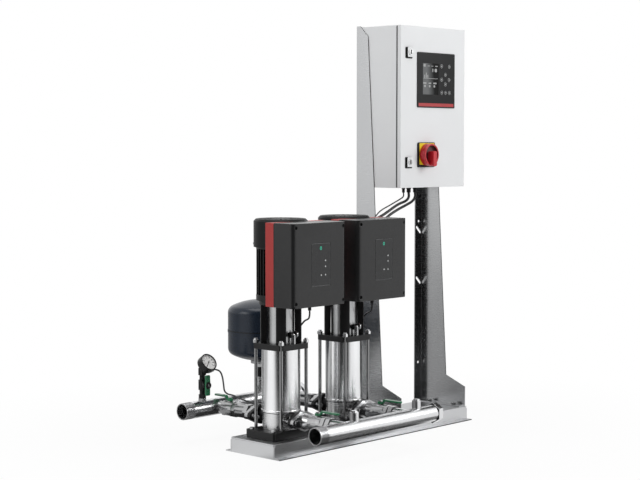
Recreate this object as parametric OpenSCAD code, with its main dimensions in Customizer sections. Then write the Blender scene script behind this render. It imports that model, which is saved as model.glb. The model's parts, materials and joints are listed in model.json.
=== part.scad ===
// Booster pump set: two vertical multistage pumps on one base frame, piped between a suction and
// a discharge manifold, with a control cabinet that stands on two legs at the right end.
// The origin is the middle of the base frame at floor level. +X is right, +Y rear, +Z up.

/* [Base frame] */
// Length of the base frame
base_l = 1064; // [1040:1:1200]
// Width of the base frame between its folds
base_w = 216; // [200:1:240]
// Height of the base frame
base_h = 52; // [40:1:70]
// Sheet thickness of the base frame
base_t = 4; // [3:0.5:6]
// Width of the floor flange along each long side
floor_flange_w = 24; // [20:1:40]
// Radius of a floor bolt hole
floor_hole_r = 5.5; // [4:0.5:7]
// Distance of a floor bolt hole from the end of the base frame
floor_hole_end = 40; // [25:1:80]

/* [Legs] */
// Sheet thickness of a leg
leg_t = 4; // [3:0.5:6]
// Height of the top of the legs above the floor
leg_top = 1514; // [1512:1:1600]
// Width of the web bent in at the rear of a leg
leg_web_w = 44; // [40:1:60]
// Rear face of the legs, behind the middle of the base
leg_back = 125; // [118:1:140]
// Width of a leg across its top
leg_top_w = 16; // [12:1:30]
// Width of a leg just below its chamfered top
leg_shoulder_w = 56; // [40:1:70]
// Height of the chamfer at the top of a leg
leg_chamfer_h = 40; // [20:1:60]
// Width of a leg at the knee above its foot
leg_knee_w = 130; // [120:1:180]
// Height of the knee above the base frame
leg_knee_h = 97; // [90:1:150]
// Width of a leg at its foot
leg_foot_l = 224; // [205:1:230]
// Height of the upright front edge of a foot
leg_toe_h = 43; // [40:1:85]
// Width of the foot flange that is bolted to the base frame
leg_foot_w = 40; // [34:1:50]

/* [Cabinet] */
// Width of the cabinet
cab_w = 380; // [360:1:420]
// Height of the cabinet
cab_h = 600; // [560:1:602]
// Depth of the cabinet with its door
cab_d = 210; // [190:1:240]
// Height of the cabinet's underside above the floor
cab_z = 910; // [890:1:910]
// Sheet thickness of the cabinet body
cab_wall = 2.5; // [2:0.5:4]
// Width of the lip around the cabinet's front opening
cab_lip = 16; // [12:1:22]
// Depth of the door tray
door_t = 16; // [12:1:18]
// Sheet thickness of the door
door_wall = 2; // [1.5:0.5:3]
// Gap between door and body, filled by the seal
door_gap = 6; // [5:0.5:8]
// Radius of a hinge barrel
hinge_r = 5; // [4:0.5:6]
// Radius of a hinge pin
hinge_pin_r = 2.5; // [2:0.5:3]
// Height of one hinge
hinge_h = 50; // [30:1:80]
// Distance of a hinge from the top or bottom edge of the door
hinge_end = 90; // [60:1:150]

/* [Door fittings] */
// Width of the operating panel
hmi_w = 223; // [200:1:240]
// Height of the operating panel
hmi_h = 206; // [180:1:220]
// Distance of the operating panel from the door's left edge
hmi_x = 93; // [80:1:110]
// Distance of the operating panel from the door's bottom edge
hmi_z = 299; // [240:1:340]
// Depth of the operating panel's housing behind the door
hmi_depth = 46; // [30:1:60]
// Width of the display window
screen_w = 92; // [80:1:110]
// Height of the display window
screen_h = 117; // [90:1:130]
// Width of the main switch plate
switch_w = 101; // [90:1:110]
// Height of the main switch plate
switch_h = 93; // [86:1:110]
// Distance of the main switch plate from the door's left edge
switch_x = 96; // [80:1:120]
// Distance of the main switch plate from the door's bottom edge
switch_z = 76; // [60:1:120]
// Radius of the main switch knob
knob_r = 41; // [30:1:44]
// How far the main switch grip stands out of its knob
grip_out = 16; // [10:1:25]
// Distance of the locks from the door's left edge
lock_x = 48; // [46:1:60]
// Height of the lower lock above the door's bottom edge
lock_low = 96; // [70:1:150]
// Height of the upper lock above the door's bottom edge
lock_high = 502; // [400:1:520]
// Radius of a lock barrel
lock_r = 11; // [8:0.5:13]

/* [Pumps] */
// Place of the first pump's axis along the base
pump_1_x = -390; // [-420:1:-380]
// Distance between the two pump axes
pump_pitch = 327; // [310:1:340]
// Length of a pump foot
foot_l = 212; // [205:1:230]
// Width of a pump foot
foot_w = 148; // [144:1:170]
// Thickness of a pump foot
foot_h = 28; // [22:1:34]
// Radius of the lower chamber
chamber_r = 66; // [64:0.5:67]
// Height of the lower chamber
chamber_h = 60; // [60:1:70]
// Height of the pipe axis above the foot
pipe_up = 36; // [34:0.5:36]
// Radius of a pump stub
stub_r = 23; // [21:0.5:23.5]
// Radius of the flow passage in the branches
bore_r = 16; // [12:0.5:17]
// Distance of a stub's face from the pump axis
stub_reach = 106; // [100:1:115]
// Radius of the outer sleeve
sleeve_r = 68; // [68:0.5:70]
// Wall of the outer sleeve
sleeve_t = 2.5; // [2:0.5:3]
// Height of the outer sleeve
sleeve_h = 220; // [200:1:240]
// Height of the bead around the foot of the sleeve
bead_h = 8; // [5:1:12]
// Number of pump stages
stages = 6; // [4:1:7]
// Side of the square head plate
head_w = 144; // [140:1:150]
// Thickness of the head plate
head_t = 20; // [16:1:26]
// Distance of a staybolt from the pump axis, along X and along Y
stay_off = 62; // [61:0.5:63]
// Radius of a staybolt
stay_r = 6; // [5:0.5:7]
// Height of the lantern
lantern_h = 150; // [140:1:165]
// Outer radius of the lantern
lantern_r = 72; // [68:1:74]
// Radial depth of a lantern pillar
pillar_d = 22; // [18:1:24]
// Angle that a lantern pillar takes up
pillar_angle = 29; // [20:1:34]
// Radius of the pump and motor shaft
shaft_r = 8; // [7:0.5:9]

/* [Motors and drives] */
// Radius of a motor over its fins
motor_r = 86.5; // [84:0.5:90]
// Depth of the motor fins
fin_d = 7; // [4:0.5:10]
// Number of motor fins
fins = 36; // [24:2:40]
// Thickness of the motor flange
motor_flange_h = 20; // [14:1:26]
// Height of the finned motor body
motor_h = 166; // [150:1:180]
// Radius of the fan cover
fan_r = 95; // [92:0.5:98]
// Height of the fan cover
fan_h = 98; // [88:1:110]
// Number of slots in the fan cover
fan_slots = 24; // [12:1:28]
// Width of a drive
drive_w = 264; // [240:1:280]
// Height of a drive
drive_h = 286; // [270:1:295]
// Depth of the drive cover
drive_d = 92; // [70:1:110]
// Depth of the red frame between motor and drive cover
frame_d = 40; // [30:1:44]
// Distance of the drive's front from the pump axis
drive_reach = 188.5; // [186:0.5:200]
// Distance of the drive's underside below the motor body
drive_drop = 30; // [20:1:36]
// Radius of the drive cover's upright edges
drive_edge_r = 17; // [8:1:25]
// Width of the key panel on a drive
keypad_w = 92; // [80:1:110]
// Height of the key panel on a drive
keypad_h = 146; // [120:1:160]

/* [Pipework] */
// Outer radius of a manifold
manifold_r = 30.15; // [28:0.05:32]
// Wall of a manifold
manifold_t = 3.65; // [2.5:0.05:5]
// Left end of the suction manifold
suction_end = -570; // [-600:1:-560]
// Left end of the discharge manifold
discharge_end = -558; // [-600:1:-550]
// Length of the threaded end of a manifold
thread_l = 42; // [30:1:60]
// Right end of both manifolds
manifold_right = 38; // [20:1:90]
// Radius of a manifold branch
branch_r = 22; // [20:0.5:25]
// Length of a suction branch from the manifold axis
suction_branch = 88; // [80:1:100]
// Length of a discharge branch from the manifold axis
discharge_branch = 44; // [40:1:60]
// Thickness of a flange
flange_t = 14; // [10:1:18]
// Radius of the round middle of a flange
flange_r = 35; // [33:0.5:36]
// Distance of a flange bolt from the pipe axis
flange_bolt = 49; // [47:0.5:50]
// Radius of a bolt shank
bolt_r = 5; // [4:0.5:6]
// Length of a counter flange's neck
neck_l = 30; // [20:1:40]
// Length of a ball valve
valve_l = 56; // [52:1:60]
// Radius of a valve ball
ball_r = 22; // [20:0.5:23]
// Length of a union on the suction side
union_l = 40; // [34:1:60]
// Length of a check valve on the discharge side
check_l = 82; // [70:1:100]
// Across-corners radius of the hexagons on valves and unions
hex_r = 29; // [27:0.5:32]
// Length of a suction valve's lever
lever_l = 98; // [80:1:110]
// Length of a discharge valve's lever
discharge_lever_l = 78; // [70:1:82]
// Width of a valve lever
lever_w = 18; // [14:1:22]

/* [Tank and gauge] */
// Place of the tank along the discharge manifold
tank_x = -168; // [-200:1:-160]
// Radius of the tank
tank_r = 119; // [100:1:122]
// Height of the tank's straight side
tank_side = 133; // [100:1:160]
// Wall of the tank
tank_t = 2; // [1.5:0.5:4]
// Height of the tank's lowest point above the pipe axis
tank_up = 146; // [140:1:160]
// Place of the gauge along the discharge manifold
gauge_x = -460; // [-470:1:-450]
// Radius of the gauge
gauge_r = 33; // [30:0.5:40]
// Depth of the gauge case
gauge_d = 28; // [20:1:35]
// Height of the gauge elbow above the pipe axis
gauge_up = 148; // [140:1:160]
// Angle by which the gauge leans back from upright
gauge_lean = 35; // [20:1:45]
// Height of the gauge valve's handle above the pipe axis
handle_up = 87; // [80:1:92]
// Length of the gauge valve's T handle
handle_l = 74; // [50:1:80]

/* [Cables] */
// Radius of a power cable
power_r = 5; // [4:0.5:6]
// Radius of the bus cable
bus_r = 2.5; // [2:0.5:3]
// Radius of a sensor cable
sensor_r = 3; // [2:0.5:3.5]
// Length of a cable gland
gland_l = 22; // [16:1:26]

/* [Hidden] */
$fn = 48;
// Overshoot of a cut past the face that it goes through
cut = 1;
// Clearance between fixed pieces that fit into each other
fit_gap = 0.2;
// Clearance between pieces that move past each other
run_gap = 0.3;
// Radial clearance of a shaft in its bearing
bearing_gap = 0.05;
// Clearance of a bolt in its hole
bolt_gap = 0.4;
// Seam beside a flap of the folded base, and the notch where its folds meet
corner_seam = 0.3;
corner_notch_r = 4;
corner_notch_h = 8;

// Heights of the pump's joints, from the floor up
z_foot = base_h + foot_h;
z_chamber = z_foot + chamber_h;
z_sleeve = z_chamber + sleeve_h;
z_head = z_sleeve + head_t;
z_lantern = z_head + lantern_h;
z_motor = z_lantern + motor_flange_h;
z_fan = z_motor + motor_h;
z_drive = z_motor - drive_drop;
pipe_z = z_foot + pipe_up;
pump_2_x = pump_1_x + pump_pitch;
pump_xs = [pump_1_x, pump_2_x];

// Pump details
chamber_wall = 5;
chamber_floor = 6;
sleeve_in = sleeve_r - sleeve_t;
bead_r = sleeve_r + 2;
stage_wall = 4;
stage_floor = 3;
stage_h = sleeve_h / stages;
impeller_r = chamber_r - 11;
impeller_h = 10;
stay_depth = 20;
stay_nut_h = 11;
stay_nut_r = 10;
foot_bolt_x = foot_l / 2 - 14;
foot_bolt_y = foot_w / 2 - 22;
bolt_head_r = 9;
bolt_head_h = 7;
foot_notch = 8;
pillar_in = lantern_r - pillar_d;
lantern_ring = 15;
guard_t = 1.2;
guard_r = pillar_in - 2.8;
coupling_r = 26;
coupling_h = 80;
vent_h = 32;
vent_r = 8;
vent_bar_r = 6;
vent_knob_r = 10;
vent_disc_r = 13;
vent_y = -(guard_r + vent_disc_r + 1);
vent_knob = [-20, -9];
vent_disc = [7, 11];
probe_x = lantern_r - 12;
probe_y = -22;
probe_h = 18;
probe_r = 6;

// Motor and drive details
rotor_r = 42;
shield_h = 10;
end_ring_h = 6;
fan_wall = 2.5;
fan_chamfer = 8;
fan_blade_r = fan_r - 15;
drive_front = -drive_reach;
cover_back = drive_front + drive_d;
frame_back = cover_back + frame_d;
frame_gap = 0.5;
keypad_dx = 5;
keypad_depth = 0.8;
screw_r = 6;
screw_in = 15;
screw_depth = 8;

// Pipework details
neck_end = stub_reach + flange_t + neck_l;
suction_valve_y = -(neck_end + valve_l / 2);
suction_y = -(neck_end + valve_l + union_l + suction_branch);
discharge_valve_y = neck_end + check_l + valve_l / 2;
discharge_y = neck_end + check_l + valve_l + discharge_branch;
flange_end_r = 14;
neck_r = 28;
valve_hex_l = 14;
valve_boss_r = 10;
valve_mid_r = ball_r + 5;
valve_boss_h = valve_mid_r + 1;
stem_r = 5;
lever_t = 3;
lever_grip_t = 6;
lever_rise = 12;
lever_bend = 11;
lever_grip_from = 22;
lever_neck_w = 12;
lever_hub_r = 11;
lever_hub_h = 8;
lever_z = pipe_z + valve_boss_h + run_gap;
nut_h = 4;
nut_r = 8;
thread_r = manifold_r - 0.35;
cap_hex_r = 37;
cap_hex_l = 22;
cap_end_l = 5;
socket_dx = 12;
socket_r = 15.5;
socket_h = 57;
plug_r = 11;
plug_h = 5;
boss_r = 14;
boss_h = 38;
bolt_tail = stub_reach - 44;

// Tank and gauge details
tank_crown_r = 240;
tank_knuckle = 28;
tank_seam_h = 5;
port_r = 8;
tank_seam_up = 1.5;
tank_flange_r = 34;
tank_flange_h = 10;
tank_nut_h = 14;
tank_body_h = 36;
tank_body_r = 18;
tank_z = pipe_z + tank_up;
tank_crown_in = asin((tank_r - tank_knuckle) / (tank_crown_r - tank_knuckle));
tank_cap_h = tank_crown_r - (tank_crown_r - tank_knuckle) * cos(tank_crown_in);
riser_r = 10;
tee_w = 20;
tee_h = 26;
gauge_neck = 18;
dial_r = gauge_r - 3.5;
dial_depth = 4;
lens_t = 1.5;
arbor_r = 1;
arbor_depth = 5;
needle_l = dial_r - 6;
needle_t = 0.8;
sensor_l = 44;
handle_w = 20;
handle_t = 7;
handle_corner_r = 4;
handle_out = 20;
handle_hub_r = 7;
handle_hub_l = 12;
handle_cap_r = 12;
handle_cap_t = 4;
handle_stem_r = 4;
handle_stem_in = 10;

// Cabinet places
cab_x1 = base_l / 2 - leg_t;
cab_x0 = cab_x1 - cab_w;
cab_mid = (cab_x0 + cab_x1) / 2;
cab_back = leg_back - leg_t;
cab_front = cab_back - cab_d;
cab_face = cab_front + door_t + door_gap;
leg_out = cab_x0 - leg_t;
hinge_x = cab_x1 + hinge_r + 1;
hinge_y = cab_front + door_t + door_gap / 2;
hinge_zs = [cab_z + hinge_end, cab_z + cab_h - hinge_end - hinge_h];
hinge_leaf_t = 3;
hmi_edge = 12;
hmi_bezel = 3;
hmi_corner_r = 5;
screen_in = 1;
screen_x = 32;
screen_z = 49;
switch_cx = cab_x0 + switch_x + switch_w / 2;
switch_cz = cab_z + switch_z + switch_h / 2;
switch_t = 4;
switch_box = 64;
switch_box_d = 45;
switch_shaft_r = 6;
knob_h = 27;
knob_rim = 6;
dish_d = 12;
grip_w = 20;
grip_top = 14;
grip_tip = 2;
lock_plate_w = 34;
lock_plate_h = 37;
lock_plate_t = 8;
lock_proud = 2;
lock_cam_w = 12;
lock_cam_l = 38;
lock_cam_t = 3;
lock_cam_y = cab_face + cab_wall + 0.5;
lock_slot = 3;
seal_in = 2;
seal_slack = 0.3;
plate_edge = 24;
plate_t = 3;
stud_in = 20;
stud_r = 6;
rail_in = 10;
rail_t = 8;
rail_h = 35;
upper_rail = 0.235 * (cab_h - 2 * plate_edge);
lower_rail = 0.543 * (cab_h - 2 * plate_edge);
gear_in = 16;
gear_gap = 1;
breaker_pitch = 18;
breaker_d = 70;
breaker_h = 85;
controller_in = 180;
controller_w = 132;
controller_h = 120;
clamp_pitch = 12;
clamp_d = 50;
clamp_h = 55;
plate_stud = 18;
plate_y = cab_back - cab_wall - plate_stud - plate_t;
cab_bolt_y = leg_back - 25;
cab_bolt_zs = [cab_z + 50, cab_z + cab_h - 70];
leg_bolt_ys = [-60, 60];
web_slot_r = 5;
web_slot_zs = [734, 533];
web_hole_zs = [768, 205];

// Side view of a leg, as points along Y and Z
leg_front = leg_back - leg_foot_l;
leg_side = [
    [leg_back, base_h], [leg_back, leg_top], [leg_back - leg_top_w, leg_top],
    [leg_back - leg_shoulder_w, leg_top - leg_chamfer_h],
    [leg_back - leg_knee_w, base_h + leg_knee_h],
    [leg_front, base_h + leg_toe_h], [leg_front, base_h]
];

// Cable glands, as place and turning of the gland's axis from +Z
drive_side = drive_w / 2;
wing_x = drive_side - 20;
down = [180, 0, 0];
to_rear = [-90, 0, 0];
cab_gland_y = 20;
bus_gland = [295, cab_gland_y, cab_z];
power_1_gland = [326, cab_gland_y, cab_z];
power_2_gland = [364, cab_gland_y, cab_z];
meter_gland_up = 80;
power_gland_up = 130;
bus_gland_up = 190;
meter_gland_z = z_drive + meter_gland_up;
power_gland_z = z_drive + power_gland_up;
bus_gland_z = z_drive + bus_gland_up;
probe_gland_x = 30;
probe_gland_y = cover_back - 13.5;

// Cable routes, from one gland to the other
power_cable_1_route = [
    [326, 20, 888], [326, 20, 870], [306, 18, 856], [246, 10, 842], [150, 10, 802], [100, 50, 776],
    [45, 98, 748], [-35, 126, 718], [-112, 112, 690], [-170, 78, 668], [-225, 48, 656],
    [-262, 20, 651], [-278, -14, 650], [-278, -34.5, 650]
];
power_cable_2_route = [
    [364, 20, 888], [364, 20, 870], [344, 17, 854], [300, 10, 841], [240, 4, 824], [188, 4, 802],
    [146, 8, 770], [112, 14, 732], [84, 16, 694], [62, 8, 664], [49, -14, 650], [49, -34.5, 650]
];
bus_cable_route = [
    [295, 20, 888], [295, 20, 874], [274, 18, 864], [205, 10, 843], [150, 8, 824], [116, 8, 800],
    [90, 12, 768], [68, 12, 738], [53, 4, 716], [49, -16, 710], [49, -34.5, 710]
];
probe_cable_route = [
    [30, -110, 498], [30, -110, 484], [40, -97, 470], [54, -76, 462], [68, -50, 454],
    [69, -32, 438], [60, -22, 418], [60, -22, 398]
];
meter_cable_route = [
    [-406, 332, 251], [-394, 332, 251], [-374, 331, 242], [-362, 331, 222], [-356, 331, 194],
    [-350, 332, 168], [-338, 328, 155], [-328, 306, 150], [-322, 260, 138], [-319, 190, 132],
    [-318, 120, 134], [-318, 86, 146], [-318, 74, 176], [-318, 73, 240], [-318, 73, 310],
    [-318, 73, 380], [-318, 73, 460], [-314, 68, 530], [-300, 44, 578], [-284, 10, 597],
    [-278, -14, 600], [-278, -34.5, 600]
];

// Round bar along X
module bar_x(x0, x1, y, z, r, sides = 48) {
    translate([x0, y, z]) rotate([0, 90, 0]) cylinder(h = x1 - x0, r = r, $fn = sides);
}

// Round bar along Y
module bar_y(x, y0, y1, z, r, sides = 48) {
    translate([x, y0, z]) rotate([-90, 0, 0]) cylinder(h = y1 - y0, r = r, $fn = sides);
}

// Round bar along Z
module bar_z(x, y, z0, z1, r, sides = 48) {
    translate([x, y, z0]) cylinder(h = z1 - z0, r = r, $fn = sides);
}

// Box between two opposite corners
module block(low, high) {
    translate(low) cube(high - low);
}

// Flat rectangle with round corners, about its middle
module round_rect(w, h, r) {
    square([w - 2 * r, h], center = true);
    square([w, h - 2 * r], center = true);
    for (x = [-1, 1], y = [-1, 1]) translate([x * (w / 2 - r), y * (h / 2 - r)]) circle(r);
}

// Flat slot with round ends between two points
module slot(p, q, r) {
    run = q - p;
    translate(p) rotate(atan2(run.y, run.x)) {
        translate([0, -r]) square([norm(run), 2 * r]);
        circle(r);
        translate([norm(run), 0]) circle(r);
    }
}

// A flat outline stood up in the XZ plane, from y0 back to y1
module stand(y0, y1) {
    translate([0, y1, 0]) rotate([90, 0, 0]) linear_extrude(y1 - y0) children();
}

// The same shape on the suction and on the discharge side
module both_sides() {
    children();
    mirror([0, 1, 0]) children();
}

// The four places at plus and minus x and y
module four(x, y) {
    for (i = [-1, 1], j = [-1, 1]) translate([i * x, j * y, 0]) children();
}

// Folded base: a channel with floor flanges, and a flap at each end
module base_frame() {
    flap_y = base_w / 2 - base_t - corner_seam;
    color("silver") for (side = [-1, 1])
        translate([side * (base_l - base_t) / 2, 0, 0])
        block([-base_t / 2, -flap_y, 0], [base_t / 2, flap_y, base_h - base_t - corner_seam]);
    color("silver") difference() {
        union() {
            block([-base_l / 2, -base_w / 2, 0], [base_l / 2, base_w / 2, base_h]);
            block([-base_l / 2, -base_w / 2 - floor_flange_w, 0],
                [base_l / 2, base_w / 2 + floor_flange_w, base_t]);
        }
        block([-base_l / 2 - cut, -base_w / 2 + base_t, -cut],
            [base_l / 2 + cut, base_w / 2 - base_t, base_h - base_t]);
        four(base_l / 2, base_w / 2)
            bar_z(0, 0, base_h - corner_notch_h, base_h + cut, corner_notch_r);
        four(base_l / 2 - floor_hole_end, (base_w + floor_flange_w) / 2)
            bar_z(0, 0, -cut, base_t + cut, floor_hole_r);
        for (x = pump_xs) translate([x, 0, 0]) four(foot_bolt_x, foot_bolt_y)
            bar_z(0, 0, base_h - base_t - cut, base_h + cut, bolt_r + bolt_gap);
        for (x = leg_bolt_xs(), y = leg_bolt_ys)
            bar_z(x, y, base_h - base_t - cut, base_h + cut, bolt_r + bolt_gap);
    }
}

// Places of the bolts in the foot flanges of the legs
function leg_bolt_xs() = [leg_out + leg_foot_w * 0.6, 2 * cab_mid - leg_out - leg_foot_w * 0.6];

// Left leg: side plate, web bent in at the rear and foot flange
module leg() {
    color("gainsboro") difference() {
        union() {
            translate([leg_out, 0, 0]) rotate([90, 0, 90]) linear_extrude(leg_t) polygon(leg_side);
            block([leg_out, leg_back - leg_t, base_h], [leg_out + leg_web_w, leg_back, leg_top]);
            block([leg_out, leg_front, base_h], [leg_out + leg_foot_w, base_w / 2, base_h + leg_t]);
        }
        for (z = web_hole_zs)
            bar_y(leg_out + leg_web_w * 0.5, leg_back - leg_t - cut, leg_back + cut, z, web_slot_r);
        for (z = web_slot_zs) stand(leg_back - leg_t - cut, leg_back + cut)
            slot([leg_out + leg_web_w * 0.75, z + 10], [leg_out + leg_web_w * 0.3, z - 10], web_slot_r);
        for (y = leg_bolt_ys)
            bar_z(leg_bolt_xs()[0], y, base_h - cut, base_h + leg_t + cut, bolt_r + bolt_gap);
    }
}

module left_leg() {
    leg();
}

module right_leg() {
    translate([2 * cab_mid, 0, 0]) mirror([1, 0, 0]) leg();
}

// Upright hexagon bolt whose head stands on height z
module bolt_down(z, tail) {
    bar_z(0, 0, z, z + bolt_head_h, bolt_head_r, 6);
    bar_z(0, 0, tail, z, bolt_r);
}

module fasteners() {
    color("lightgray") {
        for (x = pump_xs) translate([x, 0, 0]) four(foot_bolt_x, foot_bolt_y)
            bolt_down(z_foot, base_h - base_t - bolt_head_h);
        for (x = leg_bolt_xs(), y = leg_bolt_ys) translate([x, y, 0])
            bolt_down(base_h + leg_t, base_h - base_t - bolt_head_h);
        // Studs welded to the legs carry the cabinet, with the nuts inside it
        for (z = cab_bolt_zs, side = [0, 1])
            translate([side * 2 * cab_mid, 0, 0]) mirror([side, 0, 0]) {
                bar_x(cab_x0, cab_x0 + cab_wall, cab_bolt_y, z, bolt_r);
                bar_x(cab_x0 + cab_wall, cab_x0 + cab_wall + bolt_head_h, cab_bolt_y, z, bolt_head_r, 6);
            }
        for (x = pump_xs, side = [-1, 1]) translate([x + side * flange_bolt, 0, 0]) both_sides() {
            bar_y(0, bolt_tail, stub_reach + flange_t, pipe_z, bolt_r);
            bar_y(0, stub_reach + flange_t, stub_reach + flange_t + bolt_head_h, pipe_z, bolt_head_r, 6);
            bar_y(0, stub_reach - flange_t - bolt_head_h, stub_reach - flange_t, pipe_z, bolt_head_r, 6);
        }
    }
}

// Oval flange outline: a round middle drawn out to two bolt ends
module oval_flange() {
    lean = acos((flange_r - flange_end_r) / flange_bolt);
    mid = flange_r * [cos(lean), sin(lean)];
    tip = flange_end_r * [cos(lean), sin(lean)] + [flange_bolt, 0];
    circle(flange_r);
    for (s = [-1, 1]) translate([s * flange_bolt, 0]) circle(flange_end_r);
    polygon([
        tip, mid, [-mid.x, mid.y], [-tip.x, tip.y],
        [-tip.x, -tip.y], -mid, [mid.x, -mid.y], [tip.x, -tip.y]
    ]);
}

// Oval flange plate between two places along Y, with its bolt holes
module flange_plate(y0, y1) {
    difference() {
        translate([0, 0, pipe_z]) stand(y0, y1) oval_flange();
        for (s = [-1, 1]) bar_y(s * flange_bolt, y0 - cut, y1 + cut, pipe_z, bolt_r + bolt_gap);
    }
}

module pump_foot(x) {
    color("#26272a") translate([x, 0, 0]) {
        difference() {
            block([-foot_l / 2, -foot_w / 2, base_h], [foot_l / 2, foot_w / 2, z_foot]);
            four(foot_l / 2, foot_w / 2) bar_z(0, 0, base_h - cut, z_foot + cut, foot_notch);
            four(stay_off, stay_off) bar_z(0, 0, z_foot - stay_depth, z_foot + cut, stay_r + fit_gap);
            four(foot_bolt_x, foot_bolt_y) bar_z(0, 0, base_h - cut, z_foot + cut, bolt_r + bolt_gap);
        }
        both_sides() difference() {
            flange_plate(stub_reach - flange_t, stub_reach);
            bar_y(0, stub_reach - flange_t - cut, stub_reach + cut, pipe_z, stub_r + fit_gap);
        }
    }
}

module pump_chamber(x) {
    color("lightsteelblue") translate([x, 0, 0]) difference() {
        union() {
            bar_z(0, 0, z_foot, z_chamber, chamber_r);
            bar_y(0, -stub_reach, stub_reach, pipe_z, stub_r);
        }
        bar_z(0, 0, z_foot + chamber_floor, z_chamber + cut, chamber_r - chamber_wall);
        bar_y(0, -stub_reach - cut, stub_reach + cut, pipe_z, bore_r);
    }
}

module pump_sleeve(x) {
    color("lightsteelblue") translate([x, 0, z_chamber]) difference() {
        union() {
            cylinder(h = sleeve_h, r = sleeve_r);
            cylinder(h = bead_h, r = bead_r);
        }
        translate([0, 0, -cut]) cylinder(h = sleeve_h + 2 * cut, r = sleeve_in);
    }
}

module pump_head(x) {
    color("#2c2d30") translate([x, 0, 0]) {
        difference() {
            block([-head_w / 2, -head_w / 2, z_sleeve], [head_w / 2, head_w / 2, z_head]);
            bar_z(0, 0, z_sleeve - cut, z_head + cut, shaft_r + run_gap);
            for (a = [45:90:315]) rotate(a) {
                bar_z(stay_off * sqrt(2), 0, z_sleeve - cut, z_head + cut, stay_r + bolt_gap);
                block([stay_off * sqrt(2), -stay_r - bolt_gap, z_sleeve - cut],
                    [head_w, stay_r + bolt_gap, z_head + cut]);
            }
        }
        for (a = [45:90:315]) rotate(a - pillar_angle / 2) translate([0, 0, z_head])
            rotate_extrude(angle = pillar_angle) translate([pillar_in, 0]) square([pillar_d, lantern_h]);
        translate([0, 0, z_lantern - lantern_ring]) difference() {
            cylinder(h = lantern_ring, r = lantern_r + 4);
            translate([0, 0, -cut]) cylinder(h = lantern_ring + 2 * cut, r = pillar_in);
        }
    }
}

module staybolts() {
    color("whitesmoke") for (x = pump_xs) translate([x, 0, 0]) four(stay_off, stay_off) {
        bar_z(0, 0, z_foot - stay_depth, z_head + stay_nut_h + 5, stay_r);
        bar_z(0, 0, z_head, z_head + stay_nut_h, stay_nut_r, 6);
    }
}

module coupling_guards() {
    color("white") for (x = pump_xs) translate([x, 0, z_head]) difference() {
        cylinder(h = lantern_h, r = guard_r);
        translate([0, 0, -cut]) cylinder(h = lantern_h + 2 * cut, r = guard_r - guard_t);
    }
}

// Vent plug: an upright body on the head plate with a cross knob
module vent_plugs() {
    color("dimgray") for (x = pump_xs) translate([x, vent_y, z_head]) {
        bar_z(0, 0, 0, vent_h, vent_r);
        bar_x(vent_knob[1], vent_disc[0], 0, vent_h, vent_bar_r);
        bar_x(vent_knob[0], vent_knob[1], 0, vent_h, vent_knob_r);
        bar_x(vent_disc[0], vent_disc[1], 0, vent_h, vent_disc_r);
    }
}

module motor_housing(x) {
    core = motor_r - fin_d;
    color("#232427") translate([x, 0, 0]) difference() {
        union() {
            bar_z(0, 0, z_lantern, z_motor, motor_r);
            bar_z(0, 0, z_motor, z_fan, core);
            bar_z(0, 0, z_fan - end_ring_h, z_fan, motor_r);
            for (a = [0:360 / fins:359]) rotate(a)
                block([core - 2, -1.5, z_motor], [motor_r - 1, 1.5, z_fan - end_ring_h]);
        }
        bar_z(0, 0, z_lantern - cut, z_fan + cut, shaft_r + bearing_gap);
        bar_z(0, 0, z_motor, z_fan - shield_h, rotor_r + run_gap);
    }
}

module fan_cover(x) {
    top = z_fan + fan_h;
    color("#1d1e20") translate([x, 0, 0]) difference() {
        union() {
            bar_z(0, 0, z_fan, top - fan_chamfer, fan_r);
            translate([0, 0, top - fan_chamfer]) cylinder(h = fan_chamfer, r1 = fan_r, r2 = fan_r - fan_chamfer);
        }
        bar_z(0, 0, z_fan + fan_wall, top - fan_chamfer, fan_r - fan_wall);
        bar_z(0, 0, z_fan - cut, z_fan + fan_wall + cut, motor_r - fin_d);
        for (a = [0:360 / fan_slots:359]) rotate(a)
            block([fan_r * 0.36, -3, top - fan_chamfer - cut], [fan_r * 0.84, 3, top + cut]);
    }
}

module drive_frame(x) {
    color("#a03038") translate([x, 0, 0]) difference() {
        block([-drive_side, cover_back, z_drive], [drive_side, frame_back, z_drive + drive_h]);
        bar_z(0, 0, z_drive - cut, z_fan - frame_gap, motor_r + frame_gap);
        bar_z(0, 0, z_fan - frame_gap, z_drive + drive_h + cut, fan_r + frame_gap);
    }
}

// Plan of a drive cover: a rectangle whose two front corners are round
module cover_plan() {
    deep = drive_d - drive_edge_r;
    translate([-drive_side, drive_front + drive_edge_r]) square([drive_w, deep]);
    translate([-drive_side + drive_edge_r, drive_front]) square([drive_w - 2 * drive_edge_r, drive_d]);
    for (s = [-1, 1]) translate([s * (drive_side - drive_edge_r), drive_front + drive_edge_r])
        circle(drive_edge_r);
}

module drive_cover(x) {
    mid = z_drive + drive_h / 2;
    color("#3a3b3e") translate([x, 0, 0]) difference() {
        translate([0, 0, z_drive]) linear_extrude(drive_h) cover_plan();
        translate([keypad_dx, 0, mid]) stand(drive_front - cut, drive_front + keypad_depth)
            round_rect(keypad_w, keypad_h, 3);
        for (s = [-1, 1], t = [-1, 1])
            bar_y(s * (drive_side - screw_in), drive_front - cut, drive_front + screw_depth,
                mid + t * (drive_h / 2 - screw_in), screw_r);
    }
}

// Counter flange with a neck that narrows towards the valve
module counter_flanges() {
    color("silver") for (x = pump_xs) translate([x, 0, 0]) both_sides() difference() {
        union() {
            flange_plate(stub_reach, stub_reach + flange_t);
            translate([0, stub_reach + flange_t, pipe_z]) rotate([-90, 0, 0])
                cylinder(h = neck_l, r1 = neck_r, r2 = branch_r);
        }
        bar_y(0, stub_reach - cut, neck_end + cut, pipe_z, bore_r);
    }
}

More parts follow.
